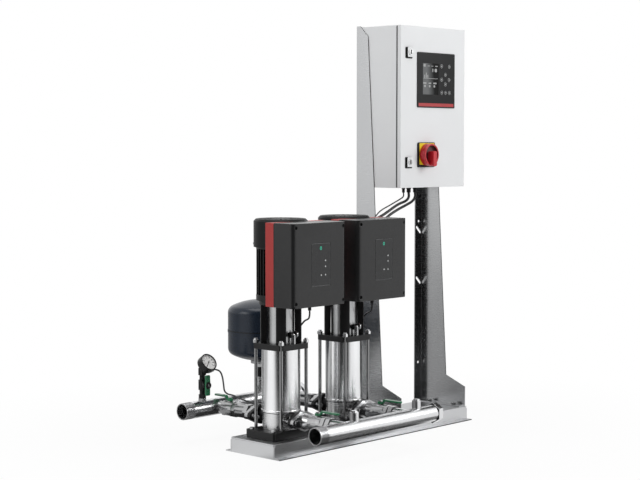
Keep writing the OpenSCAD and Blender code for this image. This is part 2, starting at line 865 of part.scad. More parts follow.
module ball_valve(x, y) {
    translate([x, y, 0]) difference() {
        union() {
            bar_y(0, -valve_l / 2, valve_l / 2, pipe_z, valve_mid_r);
            both_sides() bar_y(0, valve_l / 2 - valve_hex_l, valve_l / 2, pipe_z, hex_r, 6);
            bar_z(0, 0, pipe_z, pipe_z + valve_boss_h, valve_boss_r);
        }
        bar_y(0, -valve_l / 2 - cut, valve_l / 2 + cut, pipe_z, bore_r);
        translate([0, 0, pipe_z]) sphere(ball_r + run_gap);
        bar_z(0, 0, pipe_z, pipe_z + valve_boss_h + cut, stem_r + bearing_gap);
    }
}

module ball_valves() {
    color("lightgray") for (x = pump_xs) {
        ball_valve(x, suction_valve_y);
        ball_valve(x, discharge_valve_y);
    }
}

// Side view of a lever that rises from its hub to the grip, as points along Y and Z
function lever_side(length) = [
    [0, 0], [lever_bend, 0], [lever_grip_from, lever_rise], [length, lever_rise],
    [length, lever_rise + lever_grip_t], [lever_grip_from - lever_t, lever_rise + lever_grip_t],
    [lever_bend - lever_t, lever_t], [0, lever_t]
];

// Ball, stem, hub, nut and bent lever of one valve, with the lever along +Y
module valve_lever(length) {
    hub_top = lever_z + lever_hub_h;
    color("#1f7a43") {
        difference() {
            union() {
                translate([0, 0, pipe_z]) sphere(ball_r);
                bar_z(0, 0, pipe_z, hub_top + nut_h, stem_r);
            }
            bar_y(0, -ball_r - cut, ball_r + cut, pipe_z, bore_r);
        }
        bar_z(0, 0, lever_z, hub_top, lever_hub_r);
        bar_z(0, 0, hub_top, hub_top + nut_h, nut_r, 6);
        translate([0, 0, lever_z]) intersection() {
            translate([-lever_w / 2, 0, 0]) rotate([90, 0, 90])
                linear_extrude(lever_w) polygon(lever_side(length));
            linear_extrude(lever_rise + lever_grip_t) {
                translate([-lever_neck_w / 2, 0]) square([lever_neck_w, lever_grip_from + lever_w / 2]);
                slot([0, lever_grip_from + lever_w / 2], [0, length - lever_w / 2], lever_w / 2);
            }
        }
    }
}

module suction_lever(x) {
    translate([x, suction_valve_y, 0]) rotate(180) valve_lever(lever_l);
}

module discharge_lever(x) {
    translate([x, discharge_valve_y, 0]) valve_lever(discharge_lever_l);
}

// Hexagon at both ends and a round middle, between two places along Y
module hex_sleeve(x, y0, y1, hex_l, mid_r) {
    difference() {
        union() {
            bar_y(x, y0, y0 + hex_l, pipe_z, hex_r, 6);
            bar_y(x, y0 + hex_l, y1 - hex_l, pipe_z, mid_r);
            bar_y(x, y1 - hex_l, y1, pipe_z, hex_r, 6);
        }
        bar_y(x, y0 - cut, y1 + cut, pipe_z, bore_r);
    }
}

module pipe_unions() {
    color("gainsboro") for (x = pump_xs) {
        hex_sleeve(x, suction_y + suction_branch, suction_valve_y - valve_l / 2, union_l * 0.45, branch_r);
        hex_sleeve(x, neck_end, neck_end + check_l, check_l * 0.24, hex_r * 0.88);
    }
}

// Manifold pipe along X with one branch per pump and upright bosses, drilled through
module manifold(x0, y, branch_to, bosses, r, h) {
    low = min(y, branch_to);
    high = max(y, branch_to);
    color("gainsboro") difference() {
        union() {
            bar_x(x0, x0 + thread_l, y, pipe_z, thread_r);
            bar_x(x0 + thread_l, manifold_right, y, pipe_z, manifold_r);
            for (x = pump_xs) bar_y(x, low, high, pipe_z, branch_r);
            for (x = bosses) bar_z(x, y, pipe_z, pipe_z + h, r);
        }
        bar_x(x0 - cut, manifold_right + cut, y, pipe_z, manifold_r - manifold_t);
        for (x = pump_xs) bar_y(x, low - (low == y ? 0 : cut), high + (high == y ? 0 : cut), pipe_z, bore_r);
        for (x = bosses) bar_z(x, y, pipe_z, pipe_z + h + cut, port_r);
    }
}

module suction_manifold() {
    manifold(suction_end, suction_y, suction_y + suction_branch,
        [for (x = pump_xs) x + socket_dx], socket_r, socket_h);
}

module discharge_manifold() {
    manifold(discharge_end, discharge_y, discharge_y - discharge_branch,
        [gauge_x, tank_x], boss_r, boss_h);
}

module manifold_caps() {
    color("gainsboro") {
        for (y = [suction_y, discharge_y]) {
            bar_x(manifold_right, manifold_right + cap_hex_l, y, pipe_z, cap_hex_r, 6);
            bar_x(manifold_right + cap_hex_l, manifold_right + cap_hex_l + cap_end_l, y, pipe_z, manifold_r);
        }
        for (x = pump_xs)
            bar_z(x + socket_dx, suction_y, pipe_z + socket_h, pipe_z + socket_h + plug_h, plug_r, 6);
    }
}

// Stages stacked in the sleeve: each a cup with a floor that guides the shaft
module stage_stacks() {
    color("silver") for (x = pump_xs, i = [0:stages - 1])
        translate([x, 0, z_chamber + i * stage_h]) difference() {
            cylinder(h = stage_h, r = sleeve_in - run_gap);
            translate([0, 0, stage_floor]) cylinder(h = stage_h, r = sleeve_in - run_gap - stage_wall);
            translate([0, 0, -cut]) cylinder(h = stage_h, r = shaft_r + run_gap);
        }
}

// Shaft with impellers, coupling, motor rotor and fan
module pump_rotor(x) {
    color("slategray") translate([x, 0, 0]) {
        bar_z(0, 0, z_foot + chamber_floor + run_gap, z_fan + fan_h * 0.5, shaft_r);
        for (i = [0:stages - 1]) translate([0, 0, z_chamber + (i + 0.5) * stage_h - impeller_h / 2])
            cylinder(h = impeller_h, r = impeller_r);
        bar_z(0, 0, z_head + (lantern_h - coupling_h) / 2, z_head + (lantern_h + coupling_h) / 2, coupling_r);
        bar_z(0, 0, z_motor + run_gap, z_fan - shield_h - run_gap, rotor_r);
        bar_z(0, 0, z_fan + fan_h * 0.2, z_fan + fan_h * 0.25, fan_blade_r);
        for (a = [0:45:315]) rotate(a)
            block([shaft_r * 0.5, -1.5, z_fan + fan_h * 0.25], [fan_blade_r - 2, 1.5, z_fan + fan_h * 0.45]);
    }
}

// Half outline of a tank end: a crown blended into the side by a knuckle
module tank_cap(inset) {
    down_to = tank_cap_h - tank_crown_r;
    wide = tank_crown_r * sin(tank_crown_in);
    tall = tank_crown_r * cos(tank_crown_in);
    intersection() {
        square([tank_r, tank_crown_r]);
        union() {
            translate([tank_r - tank_knuckle, 0]) circle(tank_knuckle - inset);
            intersection() {
                translate([0, down_to]) circle(tank_crown_r - inset, $fn = 96);
                translate([0, down_to]) polygon([[0, 0], 2 * [wide, tall], 2 * [0, tall]]);
            }
        }
    }
}

// Half outline of the whole tank, drawn in from the outside by inset
module tank_outline(inset) {
    translate([0, tank_cap_h + tank_side]) tank_cap(inset);
    translate([0, tank_cap_h]) square([tank_r - inset, tank_side]);
    translate([0, tank_cap_h]) mirror([0, 1]) tank_cap(inset);
}

module tank() {
    seam_z = tank_cap_h + tank_side * 0.45;
    color("#3b4250") translate([tank_x, discharge_y, tank_z]) difference() {
        union() {
            rotate_extrude() tank_outline(0);
            translate([0, 0, seam_z]) cylinder(h = tank_seam_h, r = tank_r + tank_seam_up);
        }
        rotate_extrude() tank_outline(tank_t);
        translate([0, 0, -cut]) cylinder(h = tank_t + 2 * cut, r = port_r);
    }
}

// Valve between the discharge manifold and the tank
module tank_valve() {
    low = pipe_z + boss_h;
    high = tank_z - tank_flange_h;
    color("goldenrod") translate([tank_x, discharge_y, 0]) difference() {
        union() {
            bar_z(0, 0, low, low + tank_nut_h, boss_r + 2, 6);
            bar_z(0, 0, low + tank_nut_h, high - tank_nut_h - tank_body_h, boss_r);
            bar_z(0, 0, high - tank_nut_h - tank_body_h, high - tank_nut_h, tank_body_r);
            bar_z(0, 0, high - tank_nut_h, high, boss_r + 5, 6);
            bar_z(0, 0, high, tank_z, tank_flange_r);
        }
        bar_z(0, 0, low - cut, tank_z + cut, port_r);
    }
}

// Place and lean of the gauge, whose face looks forward and up
module at_gauge() {
    translate([gauge_x, discharge_y, pipe_z + gauge_up]) rotate([90 - gauge_lean, 0, 0]) children();
}

// Riser with a small valve, a tee for the sensor and the elbow that carries the gauge
module gauge_valve() {
    low = pipe_z + boss_h;
    mid = pipe_z + handle_up;
    top = pipe_z + gauge_up;
    color("#1b1c1e") difference() {
        union() {
            bar_z(gauge_x, discharge_y, low, low + 14, boss_r, 6);
            bar_z(gauge_x, discharge_y, low + 14, top - tee_h, riser_r);
            bar_z(gauge_x, discharge_y, mid - 18, mid + 18, boss_r);
            bar_y(gauge_x, discharge_y - handle_out + run_gap, discharge_y, mid, riser_r);
            block([gauge_x - tee_w / 2, discharge_y - tee_w / 2, top - tee_h],
                [gauge_x + tee_w / 2, discharge_y + tee_w / 2, top]);
            translate([gauge_x, discharge_y, top]) sphere(riser_r);
            at_gauge() cylinder(h = gauge_neck, r = riser_r - 1);
        }
        bar_y(gauge_x, discharge_y - handle_out - handle_stem_in, discharge_y - handle_out + handle_stem_in,
            mid, handle_stem_r + bearing_gap);
    }
}

// T handle: a cone from the valve, two flat wings and a cap
module gauge_handle() {
    mid = pipe_z + handle_up;
    hub = discharge_y - handle_out;
    front = hub - handle_hub_l;
    color("#1f7a43") {
        translate([gauge_x, hub, mid]) rotate([90, 0, 0])
            cylinder(h = handle_hub_l, r1 = handle_hub_r, r2 = handle_cap_r);
        bar_y(gauge_x, hub, hub + handle_stem_in - run_gap, mid, handle_stem_r);
        translate([gauge_x, 0, mid]) stand(front, front + handle_t)
            round_rect(handle_w, handle_l, handle_corner_r);
        bar_y(gauge_x, front - handle_cap_t, front, mid, handle_cap_r);
    }
}

module gauge_case() {
    color("#151617") at_gauge() translate([0, 0, gauge_neck]) difference() {
        cylinder(h = gauge_d, r = gauge_r);
        translate([0, 0, gauge_d - dial_depth]) cylinder(h = dial_depth + cut, r = dial_r);
        translate([0, 0, gauge_d - dial_depth - arbor_depth])
            cylinder(h = arbor_depth + cut, r = arbor_r + bearing_gap);
    }
}

module gauge_lens() {
    color("aliceblue", 0.4) at_gauge() translate([0, 0, gauge_neck + gauge_d - lens_t - fit_gap])
        cylinder(h = lens_t, r = dial_r - fit_gap);
}

// Needle on its arbor, pointing down and left at rest
module gauge_needle() {
    color("black") at_gauge() translate([0, 0, gauge_neck + gauge_d - dial_depth]) {
        translate([0, 0, -arbor_depth + run_gap]) cylinder(h = arbor_depth + 1, r = arbor_r);
        translate([0, 0, run_gap]) cylinder(h = needle_t, r = 3);
        rotate(225) translate([-8, -1, run_gap]) cube([needle_l + 8, 2, needle_t]);
    }
}

module pressure_sensor() {
    z = pipe_z + gauge_up - tee_h / 2;
    from = gauge_x + tee_w / 2;
    color("dimgray") {
        bar_x(from, from + 12, discharge_y, z, 10, 6);
        bar_x(from + 12, from + sensor_l - 10, discharge_y, z, 8.5);
        bar_x(from + sensor_l - 10, from + sensor_l, discharge_y, z, 6);
    }
}

module cabinet_body() {
    color("#d9dbdc") {
        difference() {
            block([cab_x0, cab_face, cab_z], [cab_x1, cab_back, cab_z + cab_h]);
            block([cab_x0 + cab_wall, cab_face + cab_wall, cab_z + cab_wall],
                [cab_x1 - cab_wall, cab_back - cab_wall, cab_z + cab_h - cab_wall]);
            block([cab_x0 + cab_lip, cab_face - cut, cab_z + cab_lip],
                [cab_x1 - cab_lip, cab_face + cab_wall + cut, cab_z + cab_h - cab_lip]);
            for (z = cab_bolt_zs) {
                bar_x(cab_x0 - cut, cab_x0 + cab_wall + cut, cab_bolt_y, z, bolt_r + bolt_gap);
                bar_x(cab_x1 - cab_wall - cut, cab_x1 + cut, cab_bolt_y, z, bolt_r + bolt_gap);
            }
        }
        for (z = hinge_zs) {
            bar_z(hinge_x, hinge_y, z, z + hinge_h / 2, hinge_r);
            bar_z(hinge_x, hinge_y, z, z + hinge_h - 2, hinge_pin_r);
            block([cab_x1, cab_face, z], [hinge_x, cab_face + hinge_leaf_t, z + hinge_h / 2]);
        }
    }
}

module door_seal() {
    color("#161616") difference() {
        block([cab_x0 + seal_in, cab_face - door_gap + seal_slack, cab_z + seal_in],
            [cab_x1 - seal_in, cab_face, cab_z + cab_h - seal_in]);
        block([cab_x0 + cab_lip, cab_face - door_gap - cut, cab_z + cab_lip],
            [cab_x1 - cab_lip, cab_face + cut, cab_z + cab_h - cab_lip]);
    }
}

// A row of control gear on a rail, centred on the rail's height
module gear_row(count, pitch, x, rail_z, depth, height) {
    low = rail_z + (rail_h - height) / 2;
    for (i = [0:count - 1])
        block([x + i * pitch, plate_y - depth, low],
            [x + (i + 1) * pitch - gear_gap, plate_y - rail_t, low + height]);
}

// Plate on studs at the back of the cabinet, with two rails of control gear
module mounting_plate() {
    low = cab_z + plate_edge;
    left = cab_x0 + plate_edge;
    right = cab_x1 - plate_edge;
    high = cab_z + cab_h - plate_edge;
    color("silver") {
        block([left, plate_y, low], [right, plate_y + plate_t, high]);
        for (x = [left + stud_in, right - stud_in], z = [low + stud_in, high - stud_in])
            bar_y(x, plate_y + plate_t, cab_back - cab_wall, z, stud_r);
        for (z = [high - upper_rail, high - lower_rail])
            block([left + rail_in, plate_y - rail_t, z], [right - rail_in, plate_y, z + rail_h]);
        gear_row(8, breaker_pitch, left + gear_in, high - upper_rail, breaker_d, breaker_h);
        gear_row(1, controller_w, left + controller_in, high - upper_rail, breaker_d, controller_h);
        gear_row(20, clamp_pitch, left + gear_in, high - lower_rail, clamp_d, clamp_h);
    }
}

// Cable gland: hexagon and round nut along +Z of the given turning
module gland(place, turn, r) {
    translate(place) rotate(turn) {
        cylinder(h = gland_l * 0.4, r = r + 5, $fn = 6);
        translate([0, 0, gland_l * 0.4]) cylinder(h = gland_l * 0.6, r = r + 3);
    }
}

module cable_glands() {
    color("#222325") {
        gland(bus_gland, down, bus_r);
        gland(power_1_gland, down, power_r);
        gland(power_2_gland, down, power_r);
        for (x = pump_xs) {
            gland([x + wing_x, frame_back, power_gland_z], to_rear, power_r);
            gland([x + probe_gland_x, probe_gland_y, z_drive], down, sensor_r);
            bar_z(x + probe_x, probe_y, z_head, z_head + probe_h, probe_r);
        }
        gland([pump_2_x + wing_x, frame_back, bus_gland_z], to_rear, bus_r);
        gland([pump_1_x + wing_x, frame_back, meter_gland_z], to_rear, sensor_r);
    }
}

function unit(v) = v / norm(v);
// Direction of a route at point i
function heading(p, i) = unit(p[min(i + 1, len(p) - 1)] - p[max(i - 1, 0)]);
// A direction across the route at each point, carried along without twist
function across(p, i, u) = i == len(p) ? [] :
    let (d = heading(p, i), v = unit(u - (u * d) * d)) concat([v], across(p, i + 1, v));

// Round tube along a route
module tube(p, r, sides = 8) {
    u = across(p, 0, [0.31, 0.87, 0.39]);
    last = (len(p) - 1) * sides;
    points = [
        for (i = [0:len(p) - 1], k = [0:sides - 1])
            p[i] + r * (cos(k * 360 / sides) * u[i] + sin(k * 360 / sides) * cross(heading(p, i), u[i]))
    ];
    walls = [
        for (i = [0:len(p) - 2], k = [0:sides - 1])
            let (a = i * sides + k, b = i * sides + (k + 1) % sides)
                each [[a, a + sides, b + sides], [a, b + sides, b]]
    ];
    caps = [
        [for (k = [0:sides - 1]) k],
        [for (k = [sides - 1:-1:0]) last + k]
    ];
    polyhedron(points, concat(walls, caps));
}

module power_cable_1() {
    color("#1a1a1b") tube(power_cable_1_route, power_r, 10);
}

module power_cable_2() {
    color("#1a1a1b") tube(power_cable_2_route, power_r, 10);
}

module bus_cable() {
    color("#1a1a1b") tube(bus_cable_route, bus_r);
}

module probe_cable(x) {
    color("#1a1a1b") translate([x, 0, 0]) tube(probe_cable_route, sensor_r);
}

module meter_cable() {
    color("#6a6c70") tube(meter_cable_route, sensor_r);
}

module door_panel() {
    color("#e4e6e7") {
        difference() {
            block([cab_x0, cab_front, cab_z], [cab_x1, cab_front + door_t, cab_z + cab_h]);
            block([cab_x0 + door_wall, cab_front + door_wall, cab_z + door_wall],
                [cab_x1 - door_wall, cab_front + door_t + cut, cab_z + cab_h - door_wall]);
            block([cab_x0 + hmi_x + hmi_edge - fit_gap, cab_front - cut, cab_z + hmi_z + hmi_edge - fit_gap],
                [cab_x0 + hmi_x + hmi_w - hmi_edge + fit_gap, cab_front + door_wall + cut,
                    cab_z + hmi_z + hmi_h - hmi_edge + fit_gap]);
            bar_y(switch_cx, cab_front - cut, cab_front + door_wall + cut, switch_cz, switch_shaft_r + run_gap);
            for (z = [lock_low, lock_high])
                bar_y(cab_x0 + lock_x, cab_front - cut, cab_front + door_wall + cut, cab_z + z,
                    lock_r + bearing_gap);
        }
        for (z = [lock_low, lock_high]) translate([cab_x0 + lock_x, 0, cab_z + z]) difference() {
            stand(cab_front - lock_plate_t, cab_front) round_rect(lock_plate_w, lock_plate_h, 4);
            bar_y(0, cab_front - lock_plate_t - cut, cab_front + cut, 0, lock_r + bearing_gap);
        }
        for (z = hinge_zs) difference() {
            union() {
                bar_z(hinge_x, hinge_y, z + hinge_h / 2 + run_gap, z + hinge_h, hinge_r);
                block([cab_x1, cab_front + door_t - hinge_leaf_t, z + hinge_h / 2 + run_gap],
                    [hinge_x, cab_front + door_t, z + hinge_h]);
            }
            bar_z(hinge_x, hinge_y, z, z + hinge_h - 1, hinge_pin_r + bearing_gap);
        }
    }
}

module hmi_panel() {
    left = cab_x0 + hmi_x;
    low = cab_z + hmi_z;
    color("#1e1f22") {
        difference() {
            translate([left + hmi_w / 2, 0, low + hmi_h / 2]) stand(cab_front - hmi_bezel, cab_front)
                round_rect(hmi_w, hmi_h, hmi_corner_r);
            block([left + screen_x, cab_front - hmi_bezel - cut, low + screen_z],
                [left + screen_x + screen_w, cab_front - hmi_bezel + screen_in, low + screen_z + screen_h]);
        }
        block([left + hmi_edge, cab_front, low + hmi_edge],
            [left + hmi_w - hmi_edge, cab_front + hmi_depth, low + hmi_h - hmi_edge]);
    }
}

// Yellow plate of the main switch, with the switch itself behind the door
module switch_plate() {
    color("#f2c500") {
        difference() {
            translate([switch_cx, 0, switch_cz]) stand(cab_front - switch_t, cab_front)
                round_rect(switch_w, switch_h, 6);
            bar_y(switch_cx, cab_front - switch_t - cut, cab_front + cut, switch_cz,
                switch_shaft_r + bearing_gap);
        }
        translate([switch_cx, 0, switch_cz]) stand(cab_front + door_wall, cab_front + door_wall + switch_box_d)
            square(switch_box, center = true);
    }
}

module switch_handle() {
    back = cab_front - switch_t - run_gap;
    color("#c01f26") translate([switch_cx, 0, switch_cz]) {
        difference() {
            bar_y(0, back - knob_h, back, 0, knob_r);
            bar_y(0, back - knob_h - cut, back - knob_h + dish_d, 0, knob_r - knob_rim);
        }
        stand(back - knob_h - grip_out, back - knob_h + dish_d)
            translate([0, (grip_top - knob_r - grip_tip) / 2])
            round_rect(grip_w, grip_top + knob_r + grip_tip, 8);
        bar_y(0, back, cab_front + door_wall - run_gap, 0, switch_shaft_r);
    }
}

// Lock barrel with a key slot and the cam that turns behind the cabinet's lip
module door_lock(z) {
    front = cab_front - lock_plate_t - lock_proud;
    color("#8c8f93") translate([cab_x0 + lock_x, 0, cab_z + z]) {
        difference() {
            bar_y(0, front, lock_cam_y + lock_cam_t, 0, lock_r);
            block([-lock_slot / 2, front - cut, -lock_r * 0.65], [lock_slot / 2, front + 2, lock_r * 0.65]);
        }
        block([-lock_cam_w / 2, lock_cam_y, 0], [lock_cam_w / 2, lock_cam_y + lock_cam_t, lock_cam_l]);
    }
}

base_frame();
left_leg();
right_leg();
fasteners();
suction_manifold();
discharge_manifold();
manifold_caps();
pump_foot(pump_1_x);  // pump_1_foot
pump_foot(pump_2_x);  // pump_2_foot
pump_chamber(pump_1_x);  // pump_1_chamber
pump_chamber(pump_2_x);  // pump_2_chamber
pump_sleeve(pump_1_x);  // pump_1_sleeve
pump_sleeve(pump_2_x);  // pump_2_sleeve
pump_head(pump_1_x);  // pump_1_head
pump_head(pump_2_x);  // pump_2_head
staybolts();
coupling_guards();
vent_plugs();
motor_housing(pump_1_x);  // motor_1_housing
motor_housing(pump_2_x);  // motor_2_housing
fan_cover(pump_1_x);  // motor_1_fan_cover
fan_cover(pump_2_x);  // motor_2_fan_cover
drive_frame(pump_1_x);  // drive_1_frame
drive_frame(pump_2_x);  // drive_2_frame
drive_cover(pump_1_x);  // drive_1_cover
drive_cover(pump_2_x);  // drive_2_cover
counter_flanges();
ball_valves();
pipe_unions();
stage_stacks();
tank();
tank_valve();
gauge_valve();
gauge_case();
gauge_lens();
pressure_sensor();
cabinet_body();
door_seal();
mounting_plate();
cable_glands();
power_cable_1();
power_cable_2();
bus_cable();
probe_cable(pump_1_x);  // probe_cable_1
probe_cable(pump_2_x);  // probe_cable_2
meter_cable();
pump_rotor(pump_1_x);  // pump_1_rotor
pump_rotor(pump_2_x);  // pump_2_rotor
suction_lever(pump_1_x);  // suction_lever_1
suction_lever(pump_2_x);  // suction_lever_2
discharge_lever(pump_1_x);  // discharge_lever_1
discharge_lever(pump_2_x);  // discharge_lever_2
gauge_handle();
gauge_needle();
door_panel();
hmi_panel();
switch_plate();
door_lock(lock_high);  // upper_lock
door_lock(lock_low);  // lower_lock
switch_handle();
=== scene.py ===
"""Looks of a two-pump booster set: finishes, dressed pieces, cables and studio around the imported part."""
import json
import logging
import math
from collections.abc import Callable, Iterable, Sequence
from dataclasses import dataclass, replace
from enum import Enum
from functools import cache

import bmesh
import bpy
from mathutils import Matrix, Vector


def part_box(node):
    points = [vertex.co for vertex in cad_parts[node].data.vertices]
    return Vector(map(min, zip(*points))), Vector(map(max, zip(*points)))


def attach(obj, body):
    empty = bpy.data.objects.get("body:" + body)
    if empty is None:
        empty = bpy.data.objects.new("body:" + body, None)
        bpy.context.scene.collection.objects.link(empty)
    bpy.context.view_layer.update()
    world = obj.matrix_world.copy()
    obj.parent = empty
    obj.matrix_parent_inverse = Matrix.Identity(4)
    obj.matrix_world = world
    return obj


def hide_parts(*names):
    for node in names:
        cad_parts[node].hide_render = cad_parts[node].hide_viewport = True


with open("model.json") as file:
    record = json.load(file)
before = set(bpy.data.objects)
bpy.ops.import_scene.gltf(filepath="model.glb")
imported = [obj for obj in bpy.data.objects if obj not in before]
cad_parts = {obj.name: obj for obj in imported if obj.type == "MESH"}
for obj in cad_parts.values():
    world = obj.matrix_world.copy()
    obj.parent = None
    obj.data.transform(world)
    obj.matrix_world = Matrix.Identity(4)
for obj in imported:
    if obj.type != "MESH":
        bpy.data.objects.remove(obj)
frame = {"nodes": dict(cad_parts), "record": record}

LOG = logging.getLogger("booster_set")
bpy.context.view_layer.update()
MM = 0.001

Rgb = tuple[float, float, float]
Vec2 = tuple[float, float]
Vec3 = tuple[float, float, float]
FaceTest = Callable[[Vector, Vector], bool]
Mover = Callable[[Vector], Vector]

# Shares of a face's normal along an axis, from which the face counts as looking along it.
FACING = 0.7
SQUARE = 0.8
# Below this share, the face counts as looking aside.
ASIDE = 0.6
TO_FRONT = (math.pi / 2, 0.0, 0.0)


class Slot(str, Enum):
    """The record's material slots."""

    STAINLESS = "satin_stainless"
    POLISHED = "polished_steel"
    FITTINGS = "fittings_steel"
    INNER = "inner_steel"
    CASTING = "black_casting"
    MOTOR = "motor_black"
    FAN_COVER = "fan_cover_black"
    RED_FRAME = "frame_red"
    COVER = "cover_grey"
    TANK = "tank_blue"
    BRASS = "valve_brass"
    PLASTIC = "black_plastic"
    SENSOR = "sensor_grey"
    GLASS = "gauge_glass"
    NEEDLE = "needle_black"
    GREEN = "lever_green"
    CABINET = "cabinet_grey"
    SEAL_AND_SHADOW = "seal_black"
    BLACK_CABLE = "cable_black"
    GREY_CABLE = "cable_grey"
    PANEL = "panel_black"
    YELLOW = "switch_yellow"
    RED = "switch_red"
    ZINC = "lock_zinc"


class Tree:
    """A shader's node tree, emptied, with short calls for its nodes and links."""

    def __init__(self, owner: bpy.types.Material | bpy.types.World) -> None:
        """Empties the tree of a material or a world.

        Args:
            owner: The material or world.
        """
        owner.use_nodes = True
        self.tree = owner.node_tree
        self.tree.nodes.clear()

    def node(self, kind: str, **values: object) -> bpy.types.Node:
        """Adds one node.

        Args:
            kind: The node's type.
            values: Uniform inputs by name, with _ for a space.

        Returns:
            The node.
        """
        node = self.tree.nodes.new(kind)
        for name, value in values.items():
            node.inputs[name.replace("_", " ")].default_value = value
        return node

    def join(self, source: bpy.types.NodeSocket, target: bpy.types.NodeSocket) -> None:
        """Links an output to an input."""
        self.tree.links.new(source, target)

    def combine(self, operation: str, one: bpy.types.NodeSocket,
                two: bpy.types.NodeSocket) -> bpy.types.NodeSocket:
        """Works out one value from two.

        Args:
            operation: The Math node's operation.
            one: The first value.
            two: The second value.

        Returns:
            The result.
        """
        node = self.node("ShaderNodeMath")
        node.operation = operation
        self.join(one, node.inputs[0])
        self.join(two, node.inputs[1])
        return node.outputs[0]

    def ranged(self, source: bpy.types.NodeSocket, start: Vec2, end: Vec2) -> bpy.types.NodeSocket:
        """Maps a value from one range to another, and holds it there.

        Args:
            source: The value.
            start: The range that it comes from.
            end: The range that it goes to.

        Returns:
            The mapped value.
        """
        node = self.node("ShaderNodeMapRange", From_Min=start[0], From_Max=start[1], To_Min=end[0],
                         To_Max=end[1])
        self.join(source, node.inputs["Value"])
        return node.outputs["Result"]

    def seen(self) -> bpy.types.NodeSocket:
        """Works out a value that is 1 for camera, glossy and transmission rays.

        Returns:
            The value.
        """
        path = self.node("ShaderNodeLightPath")
        total = path.outputs["Is Camera Ray"]
        for name in ("Is Glossy Ray", "Is Transmission Ray"):
            total = self.combine("MAXIMUM", total, path.outputs[name])
        return total

    def end(self, kind: str, source: bpy.types.NodeSocket) -> None:
        """Links a shader to the tree's output, which is a Material's or a World's."""
        output = self.node(f"ShaderNodeOutput{kind}")
        self.join(source, output.inputs["Surface"])

    def mix(self, share: bpy.types.NodeSocket, one: bpy.types.Node,
            two: bpy.types.Node) -> bpy.types.NodeSocket:
        """Mixes two shaders by a share of the second.

        Args:
            share: Share of the second shader.
            one: The first shader.
            two: The second shader.

        Returns:
            The mixed shader.
        """
        mixed = self.node("ShaderNodeMixShader")
        for source, target in zip((share, one.outputs[0], two.outputs[0]), mixed.inputs):
            self.join(source, target)
        return mixed.outputs[0]


class Sheet(Tree):
    """A material's node tree, with short calls for the nodes that a finish needs."""

    middle: Vec2 = (0.3, 0.7)

    def __init__(self, name: str) -> None:
        """Starts a material with one Principled shader and Object coordinates.

        Args:
            name: The material's name.
        """
        self.material = bpy.data.materials.new(name)
        super().__init__(self.material)
        self.shader = self.node("ShaderNodeBsdfPrincipled")
        self.end("Material", self.shader.outputs[0])
        self.place = self.node("ShaderNodeTexCoord").outputs["Object"]

    def fix(self, **values: object) -> None:
        """Sets uniform values on the shader's own sockets, with _ for a space in a name."""
        for name, value in values.items():
            self.shader.inputs[name.replace("_", " ")].default_value = value

    def feed(self, name: str, source: bpy.types.NodeSocket) -> None:
        """Links an output to one of the shader's inputs."""
        self.join(source, self.shader.inputs[name])

    def noise(self, cycles: Vec3, detail: float = 2.0) -> bpy.types.NodeSocket:
        """Noise with its own frequency along each axis.

        Args:
            cycles: Cycles per metre along X, Y and Z.
            detail: Octaves of finer noise.

        Returns:
            The noise, from 0 to 1.
        """
        mapping = self.node("ShaderNodeMapping", Scale=cycles)
        self.join(self.place, mapping.inputs["Vector"])
        noise = self.node("ShaderNodeTexNoise", Scale=1.0, Detail=detail)
        self.join(mapping.outputs["Vector"], noise.inputs["Vector"])
        return noise.outputs["Fac"]

    def span(self, source: bpy.types.NodeSocket, low: float, high: float) -> bpy.types.NodeSocket:
        """Stretches the middle of a noise to run from low to high."""
        return self.ranged(source, self.middle, (low, high))

    def blend(self, source: bpy.types.NodeSocket, low: Rgb, high: Rgb) -> bpy.types.NodeSocket:
        """Runs from one colour to another over the middle of a noise.

        Args:
            source: The noise.
            low: Colour below its middle.
            high: Colour above its middle.

        Returns:
            The colour.
        """
        ramp = self.node("ShaderNodeValToRGB")
        for point, place, colour in zip(ramp.color_ramp.elements, self.middle, (low, high)):
            point.position = place
            point.color = (*colour, 1.0)
        self.join(source, ramp.inputs["Fac"])
        return ramp.outputs["Color"]

    def draw_out(self, share: float) -> None:
        """Draws reflections out along Z, as on steel that was ground around an upright axis.

        Args:
            share: How far they are drawn out, from 0 to 1.
        """
        self.fix(Anisotropic=share, Anisotropic_Rotation=0.25)
        around = self.node("ShaderNodeTangent")
        around.direction_type = "RADIAL"
        around.axis = "Z"
        self.feed("Tangent", around.outputs[0])

    def emboss(self, height: bpy.types.NodeSocket, strength: float, depth: float) -> None:
        """Feeds a bump of the given height to the shader's normal.

        Args:
            height: The bump's height.
            strength: Its strength, from 0 to 1.
            depth: Its depth, in metres.
        """
        bump = self.node("ShaderNodeBump", Strength=strength, Distance=depth)
        self.join(height, bump.inputs["Height"])
        self.feed("Normal", bump.outputs["Normal"])


def even(cycles: float) -> Vec3:
    """The same frequency along X, Y and Z."""
    return (cycles, cycles, cycles)


